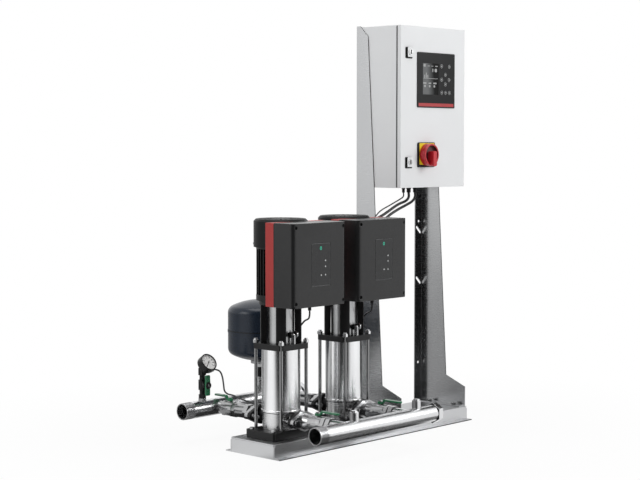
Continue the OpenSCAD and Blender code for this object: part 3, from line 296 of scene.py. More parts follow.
@dataclass(frozen=True)
class Finish:
    """A metal, paint or plastic: its colour and gloss, and the grain and patches that break them up."""

    name: str
    colour: Rgb
    metallic: float = 0.0
    roughness: float = 0.5
    gloss_drift: float = 0.06
    tone_drift: float = 0.08
    patches: Vec3 = even(9.0)
    grain: Vec3 = even(700.0)
    grain_gloss: float = 0.04
    relief: float = 0.15
    depth: float = 0.1 * MM
    coat: float = 0.0
    level: float = 0.5
    stretch: float = 0.0

    @cache
    def material(self) -> bpy.types.Material:
        """Builds the finish's material once.

        Returns:
            The material.
        """
        sheet = Sheet(self.name)
        sheet.fix(Metallic=self.metallic, Coat_Weight=self.coat, Specular_IOR_Level=self.level)
        if self.stretch:
            sheet.draw_out(self.stretch)
        patches = sheet.noise(self.patches, 3.0)
        grain = sheet.noise(self.grain)
        low = tuple(part * (1.0 - self.tone_drift) for part in self.colour)
        high = tuple(min(1.0, part * (1.0 + self.tone_drift)) for part in self.colour)
        sheet.feed("Base Color", sheet.blend(patches, low, high))
        broad = sheet.span(patches, self.roughness - self.gloss_drift, self.roughness + self.gloss_drift)
        fine = sheet.span(grain, -self.grain_gloss, self.grain_gloss)
        sheet.feed("Roughness", sheet.combine("ADD", broad, fine))
        sheet.emboss(grain, self.relief, self.depth)
        return sheet.material


@dataclass(frozen=True)
class Glass:
    """A thin clear pane that stays bright over what lies behind it."""

    name: str
    colour: Rgb = (0.95, 0.97, 0.97)
    alpha: float = 0.015

    @cache
    def material(self) -> bpy.types.Material:
        """Builds the pane's material once.

        Returns:
            The material.
        """
        sheet = Sheet(self.name)
        sheet.fix(Alpha=self.alpha, Coat_Weight=0.2)
        dust = sheet.noise(even(60.0), 3.0)
        sheet.feed("Roughness", sheet.span(dust, 0.03, 0.08))
        sheet.feed("Base Color", sheet.blend(dust, tuple(0.97 * part for part in self.colour), self.colour))
        return sheet.material


@dataclass(frozen=True)
class Lamp:
    """A small lit mark behind a foil."""

    name: str
    colour: Rgb
    strength: float = 0.8

    @cache
    def material(self) -> bpy.types.Material:
        """Builds the mark's material once.

        Returns:
            The material.
        """
        sheet = Sheet(self.name)
        sheet.fix(Emission_Strength=self.strength, Roughness=0.35)
        cloud = sheet.noise(even(900.0))
        colour = sheet.blend(cloud, tuple(0.8 * part for part in self.colour), self.colour)
        sheet.feed("Base Color", colour)
        sheet.feed("Emission Color", colour)
        return sheet.material


@dataclass(frozen=True)
class Screen:
    """A dark liquid-crystal display with a painted sheen that pales towards its left side and a little
    towards its foot, with fine pixel rows.
    """

    name: str
    left: float
    foot: float
    right: float
    top: float
    dark: Rgb = (0.002, 0.0021, 0.0022)
    pale: Rgb = (0.150, 0.155, 0.158)
    level: float = 0.12
    rows: float = 900.0
    across: Vec2 = (0.9, 0.0)
    down: Vec2 = (0.0, 0.1)

    @cache
    def material(self) -> bpy.types.Material:
        """Builds the display's material once.

        Returns:
            The material.
        """
        sheet = Sheet(self.name)
        split = sheet.node("ShaderNodeSeparateXYZ")
        sheet.join(sheet.place, split.inputs[0])
        side = sheet.ranged(split.outputs["X"], (self.left, self.right), self.across)
        fall = sheet.ranged(split.outputs["Z"], (self.top, self.foot), self.down)
        sheet.feed("Base Color", sheet.blend(sheet.combine("ADD", side, fall), self.dark, self.pale))
        rows = sheet.noise((self.rows, 1.0, self.rows))
        sheet.feed("Roughness", sheet.span(rows, 0.16, 0.24))
        sheet.fix(Specular_IOR_Level=self.level)
        sheet.emboss(rows, 0.05, 0.02 * MM)
        return sheet.material


SHEET_LONG = Finish(
    "brushed_sheet_long", (0.56, 0.565, 0.575), metallic=1.0, roughness=0.34, gloss_drift=0.03,
    tone_drift=0.02, patches=(2.0, 9.0, 9.0), grain=(14.0, 1400.0, 1400.0), grain_gloss=0.07, relief=0.10,
    depth=0.05 * MM)
SHEET_TALL = Finish(
    "brushed_leg", (0.52, 0.526, 0.535), metallic=1.0, roughness=0.24, gloss_drift=0.03, tone_drift=0.02,
    patches=(9.0, 9.0, 2.0), grain=(12.0, 12.0, 1400.0), grain_gloss=0.05, relief=0.03, depth=0.03 * MM,
    stretch=0.55)
# A darker copy of the leg's steel: painted shade on the legs' inner faces.
SHEET_INNER_SHADE = replace(SHEET_TALL, name="brushed_leg_inner_painted_shade", colour=(0.45, 0.455, 0.462), tone_drift=0.03)
# A much darker copy of the leg's steel: painted shade on the web inside each leg.
SHEET_WEB_SHADE = replace(SHEET_TALL, name="brushed_leg_web_painted_shade", colour=(0.24, 0.243, 0.247), tone_drift=0.03)
# Near black, for cut edges and for nut and cap ends: partly their rough finish, partly painted shade in the
# gaps and under the edges.
CUT_AND_SHADE = Finish(
    "cut_edge_and_painted_shade", (0.07, 0.071, 0.073), metallic=1.0, roughness=0.45, tone_drift=0.10,
    patches=even(40.0))
MIRROR = Finish(
    "polished_sleeve", (0.80, 0.805, 0.815), metallic=1.0, roughness=0.20, gloss_drift=0.02, tone_drift=0.02,
    patches=even(6.0), grain=(24.0, 24.0, 1600.0), grain_gloss=0.03, relief=0.03, depth=0.02 * MM,
    stretch=0.85)
PIPE = Finish(
    "polished_pipe", (0.72, 0.725, 0.735), metallic=1.0, roughness=0.25, gloss_drift=0.03, tone_drift=0.03,
    patches=(4.0, 12.0, 12.0), grain=(24.0, 1500.0, 1500.0), grain_gloss=0.05, relief=0.05, depth=0.02 * MM)
SATIN_CAST = Finish(
    "ground_chamber", (0.66, 0.665, 0.67), metallic=1.0, roughness=0.24, gloss_drift=0.03, tone_drift=0.04,
    patches=even(18.0), grain=(24.0, 24.0, 1200.0), relief=0.06, depth=0.03 * MM, stretch=0.8)
GUARD = Finish(
    "guard_sheet", (0.44, 0.445, 0.45), metallic=1.0, roughness=0.30, gloss_drift=0.04, tone_drift=0.05,
    patches=even(14.0), grain_gloss=0.05, relief=0.08, depth=0.03 * MM)
TURNED = Finish(
    "turned_steel", (0.43, 0.433, 0.438), metallic=1.0, roughness=0.22, gloss_drift=0.05, tone_drift=0.06,
    patches=even(25.0), grain=even(500.0), grain_gloss=0.05, relief=0.08, depth=0.03 * MM)
ROD = Finish(
    "drawn_rod", (0.30, 0.302, 0.305), metallic=1.0, roughness=0.17, gloss_drift=0.03, tone_drift=0.05,
    patches=even(25.0), grain=(900.0, 900.0, 30.0), grain_gloss=0.03, relief=0.04, depth=0.02 * MM)
THREADED = Finish(
    "dull_thread", (0.30, 0.30, 0.305), metallic=1.0, roughness=0.48, patches=even(30.0))
PLATE = Finish(
    "zinc_plate", (0.58, 0.60, 0.62), metallic=1.0, roughness=0.38, gloss_drift=0.08,
    patches=even(22.0), grain=even(300.0))
CASTING = Finish(
    "painted_casting", (0.0095, 0.0095, 0.010), roughness=0.42, gloss_drift=0.08, tone_drift=0.15,
    patches=even(14.0), grain=even(420.0), grain_gloss=0.07, relief=0.35, depth=0.25 * MM,
    level=0.26)
MOTOR_PAINT = Finish(
    "motor_paint", (0.007, 0.0072, 0.0075), roughness=0.38, tone_drift=0.12, patches=even(12.0),
    grain=even(600.0), grain_gloss=0.05, relief=0.22, depth=0.15 * MM, level=0.25)
FAN_PAINT = Finish(
    "fan_cover_paint", (0.0065, 0.0067, 0.007), roughness=0.42, gloss_drift=0.05, tone_drift=0.10,
    patches=even(10.0), grain=even(900.0), grain_gloss=0.05, relief=0.18, level=0.13)
RED_PAINT = Finish(
    "red_frame_paint", (0.40, 0.042, 0.040), roughness=0.36, gloss_drift=0.05, tone_drift=0.07,
    patches=even(10.0), grain=even(800.0), grain_gloss=0.05, relief=0.18, depth=0.08 * MM,
    level=0.22)
COVER = Finish(
    "cover_moulding", (0.018, 0.0182, 0.0188), roughness=0.26, gloss_drift=0.04, tone_drift=0.06,
    patches=even(7.0), grain=even(1500.0), grain_gloss=0.06, relief=0.18, depth=0.06 * MM,
    level=0.34)
KEYPAD = Finish(
    "keypad_foil", (0.022, 0.0224, 0.0232), roughness=0.28, gloss_drift=0.03, tone_drift=0.04,
    patches=even(20.0), grain=even(2200.0), grain_gloss=0.03, relief=0.10,
    depth=0.03 * MM, level=0.3)
TANK = Finish(
    "tank_enamel", (0.011, 0.018, 0.031), roughness=0.24, gloss_drift=0.04, patches=even(6.0),
    grain=even(260.0), grain_gloss=0.03, relief=0.08, level=0.32)
# Black moulding, also used as painted shade beside the locks, in their key slots and in the switch plate's
# margin.
BLACK = Finish(
    "black_moulding_and_painted_shade", (0.008, 0.008, 0.0085), roughness=0.36, tone_drift=0.10, patches=even(25.0),
    grain=even(1100.0), grain_gloss=0.05, depth=0.06 * MM, level=0.25)
SENSOR = Finish("sensor_moulding", (0.10, 0.105, 0.11), roughness=0.40)
GREEN = Finish(
    "green_coating", (0.006, 0.155, 0.058), roughness=0.30, gloss_drift=0.05, tone_drift=0.10,
    patches=even(30.0), grain=even(500.0), grain_gloss=0.05, depth=0.08 * MM, coat=0.2)
CABINET = Finish(
    "powder_coat", (0.775, 0.785, 0.795), roughness=0.42, gloss_drift=0.03, tone_drift=0.012,
    patches=even(5.0), grain=even(520.0), grain_gloss=0.03, relief=0.10, depth=0.06 * MM)
# Black foam for the door seal and the pump seams, also used for the painted shadows at the drives' joints and
# behind the locks.
SEAL_AND_SHADOW = Finish(
    "foamed_seal_and_painted_shadow", (0.006, 0.006, 0.006), roughness=0.75, gloss_drift=0.05, tone_drift=0.20,
    patches=even(40.0))
JACKET = Finish(
    "cable_jacket", (0.011, 0.011, 0.012), roughness=0.44, tone_drift=0.12, patches=even(40.0),
    grain=even(900.0), grain_gloss=0.05, relief=0.18, depth=0.06 * MM)
GREY_JACKET = Finish(
    "grey_jacket", (0.055, 0.056, 0.058), roughness=0.46, tone_drift=0.10, patches=even(40.0))
FOIL = Finish(
    "panel_foil", (0.013, 0.0132, 0.0138), roughness=0.34, gloss_drift=0.03, tone_drift=0.06,
    patches=even(15.0), grain=even(2400.0), grain_gloss=0.03, relief=0.10,
    depth=0.03 * MM, level=0.16)
FOIL_RED = replace(FOIL, name="red_foil", colour=(0.42, 0.030, 0.033), tone_drift=0.05, level=0.5)
YELLOW = Finish(
    "yellow_moulding", (0.83, 0.62, 0.015), roughness=0.36, gloss_drift=0.04, tone_drift=0.06,
    patches=even(20.0))
RED = Finish(
    "red_moulding", (0.50, 0.012, 0.022), roughness=0.30, gloss_drift=0.04, patches=even(22.0),
    grain=even(1300.0), relief=0.12, depth=0.05 * MM, coat=0.15)
# The handle's red, darkened: painted shade for the inside of its dish.
RED_SHADE = replace(RED, name="shaded_red", colour=(0.060, 0.003, 0.004), roughness=0.40, coat=0.0)
ZINC = Finish(
    "cast_zinc", (0.60, 0.605, 0.61), metallic=1.0, roughness=0.32, tone_drift=0.06,
    patches=even(60.0))
DIAL = Finish(
    "dial_enamel", (0.96, 0.96, 0.95), roughness=0.40, gloss_drift=0.03, tone_drift=0.02,
    patches=even(60.0))
INK = Finish("dial_ink", (0.012, 0.012, 0.013), roughness=0.55)
FAINT = Finish(
    "faint_line", (0.14, 0.142, 0.145), roughness=0.45, gloss_drift=0.03, tone_drift=0.04,
    patches=even(90.0))
MARK = replace(FAINT, name="printed_mark", colour=(0.60, 0.61, 0.61))
READOUT = replace(FAINT, name="display_segments", colour=(0.34, 0.345, 0.345))
GEAR = Finish(
    "gear_moulding", (0.44, 0.45, 0.455), roughness=0.45, gloss_drift=0.05, tone_drift=0.06,
    patches=even(25.0))
PANE = Glass("gauge_pane")
GREEN_LAMP = Lamp("green_lamp", (0.012, 0.30, 0.19))


def linked(name: str, data: bpy.types.ID) -> bpy.types.Object:
    """Makes an object of a mesh, curve, lamp or camera and links it to the scene.

    Args:
        name: The object's name.
        data: What it shows.

    Returns:
        The object.
    """
    item = bpy.data.objects.new(name, data)
    bpy.context.scene.collection.objects.link(item)
    return item


def plain(carrier: bpy.types.Object) -> bpy.types.Mesh:
    """Turns what an object's modifiers or curve make into a plain mesh, and removes the object.

    Args:
        carrier: The object, linked to the scene.

    Returns:
        The new mesh.
    """
    bpy.context.view_layer.update()
    graph = bpy.context.evaluated_depsgraph_get()
    mesh = bpy.data.meshes.new_from_object(carrier.evaluated_get(graph))
    carrier.modifiers.clear()
    bpy.data.objects.remove(carrier)
    return mesh


def mesh_of(shell: bmesh.types.BMesh, name: str) -> bpy.types.Mesh:
    """Turns a finished bmesh into a mesh and frees it.

    Args:
        shell: The bmesh.
        name: The mesh's name.

    Returns:
        The mesh.
    """
    mesh = bpy.data.meshes.new(name)
    shell.to_mesh(mesh)
    shell.free()
    return mesh


def box_mid(node: str) -> Vector:
    """The middle of a CAD node's box."""
    low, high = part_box(node)
    return (low + high) / 2


class Bench:
    """Makes pieces from meshes and CAD nodes, and hangs each of them on its body."""

    weld: float = 0.002 * MM
    flat: float = math.radians(0.2)
    sharp: float = math.radians(40.0)

    def __init__(self) -> None:
        """Reads which body each CAD node belongs to."""
        groups = frame["record"]["behaviour"]["bodies"]
        self.body = {node: body for body, nodes in groups.items() for node in nodes}
        self.count = 0

    def show(self, name: str, mesh: bpy.types.Mesh, body: str, slot: Slot,
             hides: Sequence[str] = ()) -> bpy.types.Object:
        """Makes a mesh a piece of the part.

        Args:
            name: The piece's name.
            mesh: Its mesh, in the part's frame, with its materials.
            body: The body that it rides on.
            slot: Not used.
            hides: CAD nodes that it stands for.

        Returns:
            The piece's object.
        """
        piece = linked(name, mesh)
        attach(piece, body)
        if hides:
            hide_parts(*hides)
        self.count += 1
        LOG.info("%s rides on %s", name, body)
        return piece

    def skin(self, node: str, edge: float, steps: int = 2, move: Mover | None = None) -> bpy.types.Mesh:
        """Copies a CAD node with its flats merged, its edges eased and its curves smooth.

        Args:
            node: The CAD node's name.
            edge: Width of the eased edges, in metres, or 0 for none.
            steps: Faces across an eased edge.
            move: Where each corner goes before the edges are eased, if any moves.

        Returns:
            The new mesh, without a material.
        """
        shell = bmesh.new()
        shell.from_mesh(frame["nodes"][node].data)
        bmesh.ops.remove_doubles(shell, verts=shell.verts[:], dist=self.weld)
        bmesh.ops.dissolve_limit(shell, angle_limit=self.flat, verts=shell.verts[:], edges=shell.edges[:])
        if move:
            for corner in shell.verts:
                corner.co = move(corner.co)
        if edge:
            lines = [line for line in shell.edges
                     if line.is_manifold and line.calc_face_angle(0.0) > self.sharp]
            bmesh.ops.bevel(shell, geom=lines, offset=edge, segments=steps, profile=0.5, affect="EDGES",
                            clamp_overlap=False)
            bmesh.ops.dissolve_degenerate(shell, dist=self.weld, edges=shell.edges[:])
        mesh = mesh_of(shell, f"{node}_skin")
        mesh.materials.clear()
        return settle(mesh)

    def dress(self, node: str, finish: Finish, slot: Slot, edge: float = 0.5 * MM,
              regions: Sequence[tuple[Finish, FaceTest]] = (), move: Mover | None = None) -> bpy.types.Object:
        """Shows a CAD node as its eased copy in a finish.

        Args:
            node: The CAD node's name.
            finish: The finish of the piece.
            slot: The record's slot that the finish comes from.
            edge: Width of the eased edges.
            regions: Other finishes, each with a test on a face's middle and normal.
            move: Where each corner goes, if any moves.

        Returns:
            The piece's object.
        """
        mesh = self.skin(node, edge, move=move)
        mesh.materials.append(finish.material())
        for number, (other, test) in enumerate(regions, start=1):
            mesh.materials.append(other.material())
            for face in mesh.polygons:
                if test(face.center, face.normal):
                    face.material_index = number
        return self.show(f"{node}_look", mesh, self.body[node], slot, [node])

    def detail(self, name: str, mesh: bpy.types.Mesh, finish: Finish | Glass | Lamp | Screen, body: str,
               slot: Slot) -> bpy.types.Object:
        """Shows a mesh of the builder's own in one finish.

        Args:
            name: The piece's name.
            mesh: Its mesh, in the part's frame.
            finish: Its finish.
            body: The body that it rides on.
            slot: The record's slot that the finish comes from.

        Returns:
            The piece's object.
        """
        mesh.materials.clear()
        mesh.materials.append(finish.material())
        return self.show(name, mesh, body, slot)


def settle(mesh: bpy.types.Mesh, sharp: float = 50.0) -> bpy.types.Mesh:
    """Shades a mesh smooth, with flats kept flat beside their eased edges.

    Args:
        mesh: The mesh to shade.
        sharp: Angle, in degrees, from which an edge stays sharp.

    Returns:
        A new mesh with weighted normals.
    """
    mesh.shade_smooth()
    mesh.set_sharp_from_angle(angle=math.radians(sharp))
    carrier = linked("carrier", mesh)
    weights = carrier.modifiers.new("weights", "WEIGHTED_NORMAL")
    weights.keep_sharp = True
    return plain(carrier)


def circle(radius: float, steps: int) -> list[Vec2]:
    """Outline of a circle about its middle, anticlockwise."""
    angles = [2 * math.pi * i / steps for i in range(steps)]
    return [(radius * math.cos(angle), radius * math.sin(angle)) for angle in angles]


def rounded(width: float, height: float, radius: float, steps: int = 6) -> list[Vec2]:
    """Draws a rectangle with round corners about its middle, anticlockwise.

    Args:
        width: Its width.
        height: Its height.
        radius: Radius of its corners.
        steps: Segments of each corner.

    Returns:
        The outline's points.
    """
    points = []
    for turn, (side, rise) in enumerate(((1, 1), (-1, 1), (-1, -1), (1, -1))):
        for step in range(steps + 1):
            angle = math.radians(90.0 * (turn + step / steps))
            points.append((side * (width / 2 - radius) + radius * math.cos(angle),
                           rise * (height / 2 - radius) + radius * math.sin(angle)))
    return points


@dataclass(frozen=True)
class Face:
    """A plane to print on: a middle, the way to the right and the way up, all in the part's frame."""

    middle: Vec3
    right: Vec3 = (1.0, 0.0, 0.0)
    up: Vec3 = (0.0, 0.0, 1.0)

    @classmethod
    def level(cls, middle: Vec3) -> "Face":
        """A plane that looks up."""
        return cls(middle, (1.0, 0.0, 0.0), (0.0, 1.0, 0.0))

    def matrix(self) -> Matrix:
        """Places a drawing in X and Y, with Z towards the reader, on this plane.

        Returns:
            The matrix that places it.
        """
        right, up = Vector(self.right), Vector(self.up)
        turn = Matrix((right, up, right.cross(up))).transposed()
        return Matrix.Translation(Vector(self.middle)) @ turn.to_4x4()


class Print:
    """Thin raised shapes gathered in one mesh on a plane."""

    def __init__(self, thickness: float = 0.15 * MM) -> None:
        """Starts an empty drawing of the given thickness."""
        self.shell = bmesh.new()
        self.thickness = thickness

    def area(self, outline: Sequence[Vec2], at: Vec2 = (0.0, 0.0)) -> None:
        """Adds a filled outline, moved to a place.

        Args:
            outline: The outline's points, anticlockwise.
            at: Where its middle goes.
        """
        points = [(x + at[0], y + at[1]) for x, y in outline]
        top = self.shell.faces.new([self.shell.verts.new((x, y, self.thickness)) for x, y in points])
        foot = self.shell.faces.new([self.shell.verts.new((x, y, 0.0)) for x, y in reversed(points)])
        upper, lower = list(top.verts), list(reversed(foot.verts))
        for i in range(len(points)):
            self.shell.faces.new((lower[i - 1], lower[i], upper[i], upper[i - 1]))

    def disc(self, radius: float, at: Vec2 = (0.0, 0.0), steps: int = 20) -> None:
        """Adds a filled circle."""
        self.area(circle(radius, steps), at)

    def band(self, outer: Sequence[Vec2], inner: Sequence[Vec2], at: Vec2 = (0.0, 0.0)) -> None:
        """Adds the band between two outlines that have the same number of points."""
        low_out, top_out, low_in, top_in = (
            [self.shell.verts.new((x + at[0], y + at[1], z)) for x, y in line]
            for line in (outer, inner) for z in (0.0, self.thickness))
        for i in range(len(outer)):
            for one, two in ((low_out, top_out), (top_out, top_in), (top_in, low_in), (low_in, low_out)):
                self.shell.faces.new((one[i - 1], one[i], two[i], two[i - 1]))

    def ring(self, outer: float, inner: float, steps: int = 96) -> None:
        """Adds a round band."""
        self.band(circle(outer, steps), circle(inner, steps))

    def frame(self, width: float, height: float, radius: float, line: float, at: Vec2 = (0.0, 0.0)) -> None:
        """Adds a rectangle's line with round corners."""
        self.band(rounded(width, height, radius),
                  rounded(width - 2 * line, height - 2 * line, max(radius - line, 0.1 * MM)), at)

    def mesh(self, name: str, face: Face) -> bpy.types.Mesh:
        """Ends the drawing and places it on a plane.

        Args:
            name: The mesh's name.
            face: The plane.

        Returns:
            The mesh.
        """
        bmesh.ops.remove_doubles(self.shell, verts=self.shell.verts[:], dist=0.001 * MM)
        bmesh.ops.recalc_face_normals(self.shell, faces=self.shell.faces[:])
        mesh = mesh_of(self.shell, name)
        mesh.transform(face.matrix())
        return mesh


class Recipe:
    """A Geometry Nodes tree with named inputs, ending in Realize Instances and Set Material."""

    def __init__(self, name: str) -> None:
        """Starts a tree with a geometry input and output.

        Args:
            name: The tree's name.
        """
        self.tree = bpy.data.node_groups.new(name, "GeometryNodeTree")
        self.tree.interface.new_socket("Geometry", in_out="INPUT", socket_type="NodeSocketGeometry")
        self.tree.interface.new_socket("Geometry", in_out="OUTPUT", socket_type="NodeSocketGeometry")
        self.entry = self.tree.nodes.new("NodeGroupInput")
        self.names: dict[str, str] = {}

    def value(self, name: str, kind: str = "Float") -> bpy.types.NodeSocket:
        """Adds a named input.

        Args:
            name: The input's name.
            kind: Its type of socket.

        Returns:
            The socket to link from.
        """
        socket = self.tree.interface.new_socket(name, in_out="INPUT", socket_type=f"NodeSocket{kind}")
        self.names[name] = socket.identifier
        return next(out for out in self.entry.outputs if out.identifier == socket.identifier)

    def node(self, kind: str, settings: dict[str, object] | None = None,
             **inputs: object) -> bpy.types.Node:
        """Adds a node.

        Args:
            kind: The node's type, without its GeometryNode prefix where it has one.
            settings: Properties of the node.
            inputs: Its inputs by name, with _ for a space, each a value or a socket to link.

        Returns:
            The node.
        """
        prefix = "" if kind.startswith(("Shader", "Function")) else "GeometryNode"
        node = self.tree.nodes.new(prefix + kind)
        for name, value in (settings or {}).items():
            setattr(node, name, value)
        for name, value in inputs.items():
            wanted = name.replace("_", " ")
            socket = next(item for item in node.inputs if item.name == wanted and item.enabled)
            if isinstance(value, bpy.types.NodeSocket):
                self.tree.links.new(value, socket)
            else:
                socket.default_value = value
        return node

    def scaled(self, source: bpy.types.NodeSocket, factor: float) -> bpy.types.NodeSocket:
        """Multiplies a value by a factor.

        Args:
            source: The value.
            factor: The factor.

        Returns:
            The product.
        """
        node = self.node("ShaderNodeMath", {"operation": "MULTIPLY"})
        self.tree.links.new(source, node.inputs[0])
        node.inputs[1].default_value = factor
        return node.outputs[0]

    def torus(self, radius: bpy.types.NodeSocket, bead: bpy.types.NodeSocket, sides: int,
              bead_sides: int) -> bpy.types.NodeSocket:
        """Makes a ring with a round bead.

        Args:
            radius: The ring's radius.
            bead: The bead's radius.
            sides: Segments around the ring.
            bead_sides: Segments around the bead.

        Returns:
            The ring's geometry.
        """
        line = self.node("CurvePrimitiveCircle", Resolution=sides, Radius=radius)
        profile = self.node("CurvePrimitiveCircle", Resolution=bead_sides, Radius=bead)
        return self.node("CurveToMesh", Curve=line.outputs[0], Profile_Curve=profile.outputs[0]).outputs[0]

    def repeat(self, shape: bpy.types.NodeSocket, rotation: object) -> bpy.types.NodeSocket:
        """Puts a shape at every point of the start mesh."""
        points = self.entry.outputs[0]
        return self.node("InstanceOnPoints", Points=points, Instance=shape, Rotation=rotation).outputs[0]

    def end(self, geometry: bpy.types.NodeSocket, finish: Finish) -> None:
        """Ends the tree: realises what is instanced and sets its material.

        Args:
            geometry: What the tree has made.
            finish: Its finish.
        """
        real = self.node("RealizeInstances", Geometry=geometry)
        dressed = self.node("SetMaterial", Geometry=real.outputs[0], Material=finish.material())
        out = self.tree.nodes.new("NodeGroupOutput")
        self.tree.links.new(dressed.outputs[0], out.inputs[0])

    def bake(self, name: str, start: bpy.types.Mesh, values: dict[str, object]) -> bpy.types.Mesh:
        """Runs the tree on a mesh.

        Args:
            name: Name of the new mesh.
            start: The mesh that the tree starts from.
            values: The tree's named inputs.

        Returns:
            The result as a plain mesh.
        """
        carrier = linked(f"{name}_carrier", start)
        modifier = carrier.modifiers.new("recipe", "NODES")
        modifier.node_group = self.tree
        for key, value in values.items():
            modifier[self.names[key]] = value
        mesh = plain(carrier)
        mesh.name = name
        return mesh


def point_mesh(name: str, points: Iterable[Vec3], path: bool = False) -> bpy.types.Mesh:
    """Makes a mesh of bare points, joined in a line where they are a path.

    Args:
        name: The mesh's name.
        points: Its points, in metres.
        path: Whether they make a line.

    Returns:
        The mesh.
    """
    points = list(points)
    mesh = bpy.data.meshes.new(name)
    mesh.from_pydata(points, [(i, i + 1) for i in range(len(points) - 1)] if path else [], [])
    return mesh


def cable_recipe(finish: Finish) -> Recipe:
    """Sweeps a round jacket along a path.

    Args:
        finish: The jacket's finish.

    Returns:
        The recipe, with the inputs Radius and Sides.
    """
    recipe = Recipe("cable_sweep")
    radius = recipe.value("Radius")
    sides = recipe.value("Sides", "Int")
    line = recipe.node("MeshToCurve", Mesh=recipe.entry.outputs[0])
    ring = recipe.node("CurvePrimitiveCircle", Resolution=sides, Radius=radius)
    tube = recipe.node("CurveToMesh", Curve=line.outputs[0], Profile_Curve=ring.outputs[0], Fill_Caps=True)
    smooth = recipe.node("SetShadeSmooth", Geometry=tube.outputs[0])
    recipe.end(smooth.outputs[0], finish)
    return recipe


def ridge_recipe(finish: Finish) -> Recipe:
    """Puts ridges around the X axis, one at every point, for a thread.

    Args:
        finish: The ridges' finish.

    Returns:
        The recipe, with the inputs Radius and Ridge.
    """
    recipe = Recipe("ridge_row")
    radius = recipe.value("Radius")
    ridge = recipe.value("Ridge")
    row = recipe.repeat(recipe.torus(radius, ridge, 64, 6), (0.0, math.pi / 2, 0.0))
    smooth = recipe.node("SetShadeSmooth", Geometry=row)
    recipe.end(smooth.outputs[0], finish)
    return recipe


def tick_recipe(finish: Finish) -> Recipe:
    """Fans ticks about the Z axis, one for each point of the start mesh.

    Args:
        finish: The ticks' finish.

    Returns:
        The recipe, with the inputs Size, Reach, First and Step.
    """
    recipe = Recipe("tick_fan")
    size = recipe.value("Size", "Vector")
    reach = recipe.value("Reach", "Vector")
    first = recipe.value("First")
    step = recipe.value("Step")
    tick = recipe.node("MeshCube", Size=size)
    moved = recipe.node("Transform", Geometry=tick.outputs[0], Translation=reach)
    index = recipe.node("InputIndex")
    turn = recipe.node("ShaderNodeMath", {"operation": "MULTIPLY_ADD"})
    for source, target in zip((index.outputs[0], step, first), turn.inputs):
        recipe.tree.links.new(source, target)
    spin = recipe.node("ShaderNodeCombineXYZ", Z=turn.outputs[0])
    recipe.end(recipe.repeat(moved.outputs[0], spin.outputs[0]), finish)
    return recipe


def screw_recipe(finish: Finish) -> Recipe:
    """Puts cap screws with a hexagon recess at the start mesh's points, facing along Z.

    Args:
        finish: The screws' finish.

    Returns:
        The recipe, with the inputs Radius, Height and Tilt.
    """
    recipe = Recipe("cap_screws")
    radius = recipe.value("Radius")
    height = recipe.value("Height")
    tilt = recipe.value("Tilt", "Vector")
    head = recipe.node("MeshCylinder", Vertices=24, Radius=radius, Depth=height)
    hexagon = recipe.node("MeshCylinder", Vertices=6, Radius=recipe.scaled(radius, 0.55), Depth=height)
    lift = recipe.node("ShaderNodeCombineXYZ", Z=recipe.scaled(height, 0.5))
    raised = recipe.node("Transform", Geometry=hexagon.outputs[0], Translation=lift.outputs[0])
    cut = recipe.node("MeshBoolean", {"operation": "DIFFERENCE"})
    recipe.tree.links.new(head.outputs[0], cut.inputs[0])
    recipe.tree.links.new(raised.outputs[0], cut.inputs[1])
    recipe.end(recipe.repeat(cut.outputs[0], tilt), finish)
    return recipe


def key_recipe(finish: Finish) -> Recipe:
    """Prints key rings at the start mesh's points, in the plane of the door.

    Args:
        finish: The rings' finish.

    Returns:
        The recipe, with the inputs Radius and Line.
    """
    recipe = Recipe("key_rings")
    radius = recipe.value("Radius")
    line = recipe.value("Line")
    recipe.end(recipe.repeat(recipe.torus(radius, line, 28, 4), TO_FRONT), finish)
    return recipe


@dataclass
class Stand:
    """The folded base, its two legs and the fasteners that hold them."""

    bench: Bench
    edge: float = 0.6 * MM
    sheet: float = 4 * MM
    bend: float = 12 * MM
    core: float = 0.45
    near: float = 1 * MM
    lifts: tuple[Vec2, ...] = ((149 * MM, 16 * MM), (95 * MM, 32 * MM))

    def build(self) -> None:
        """Dresses the sheet metal, with its cut edges painted dark, partly as painted shade, and its
        fasteners.
        """
        low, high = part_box("base_frame")

        def flange_edge(middle: Vector, normal: Vector) -> bool:
            """The cut edges of the flanges on the floor, painted dark, partly as the shadow under them."""
            inset = min(middle.y - low.y, high.y - middle.y)
            return middle.z < self.sheet and abs(normal.y) > FACING and inset < self.near

        self.bench.dress("base_frame", SHEET_LONG, Slot.STAINLESS, self.edge, [(CUT_AND_SHADE, flange_edge)])
        self.leg("left_leg", 1)
        self.leg("right_leg", -1)
        self.bench.dress("fasteners", TURNED, Slot.FITTINGS, 0.4 * MM)

    def leg(self, node: str, inward: int) -> None:
        """Dresses a leg.

        Args:
            node: The leg's node.
            inward: 1 where its inner side looks along X, and -1 where it looks back.
        """
        low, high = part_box(node)
        plate = (low if inward > 0 else high).x + inward * self.sheet / 2

        def cut(middle: Vector, normal: Vector) -> bool:
            """The cut edges of the side plate, painted dark, partly as the shadow in the gap beside the
            cabinet.
            """
            return (abs(middle.x - plate) < self.sheet * self.core and abs(normal.x) < ASIDE
                    and middle.y < high.y - self.bend and middle.z > low.z + self.sheet)

        def inner(middle: Vector, normal: Vector) -> bool:
            """The inner face of the plate, in a darker steel that is painted shade."""
            return normal.x * inward > FACING

        def web(middle: Vector, normal: Vector) -> bool:
            """The inner face of the web, painted dark as the plate's shade."""
            return normal.y < -FACING and middle.y > high.y - self.bend

        def lifted(corner: Vector) -> Vector:
            """Lifts the side plate's knee and toe to where the photograph has them."""
            rise = sum(step for height, step in self.lifts
                       if abs(corner.z - height) < self.near and corner.y < high.y - 2 * self.bend)
            return corner + Vector((0.0, 0.0, rise))

        # Painted shade: the inner faces and the web take darker copies of the leg's steel, and the cut edges
        # a near-black finish that is partly shade.
        regions = [(SHEET_INNER_SHADE, inner), (SHEET_WEB_SHADE, web), (CUT_AND_SHADE, cut)]
        self.bench.dress(node, SHEET_TALL, Slot.STAINLESS, self.edge, regions, lifted)


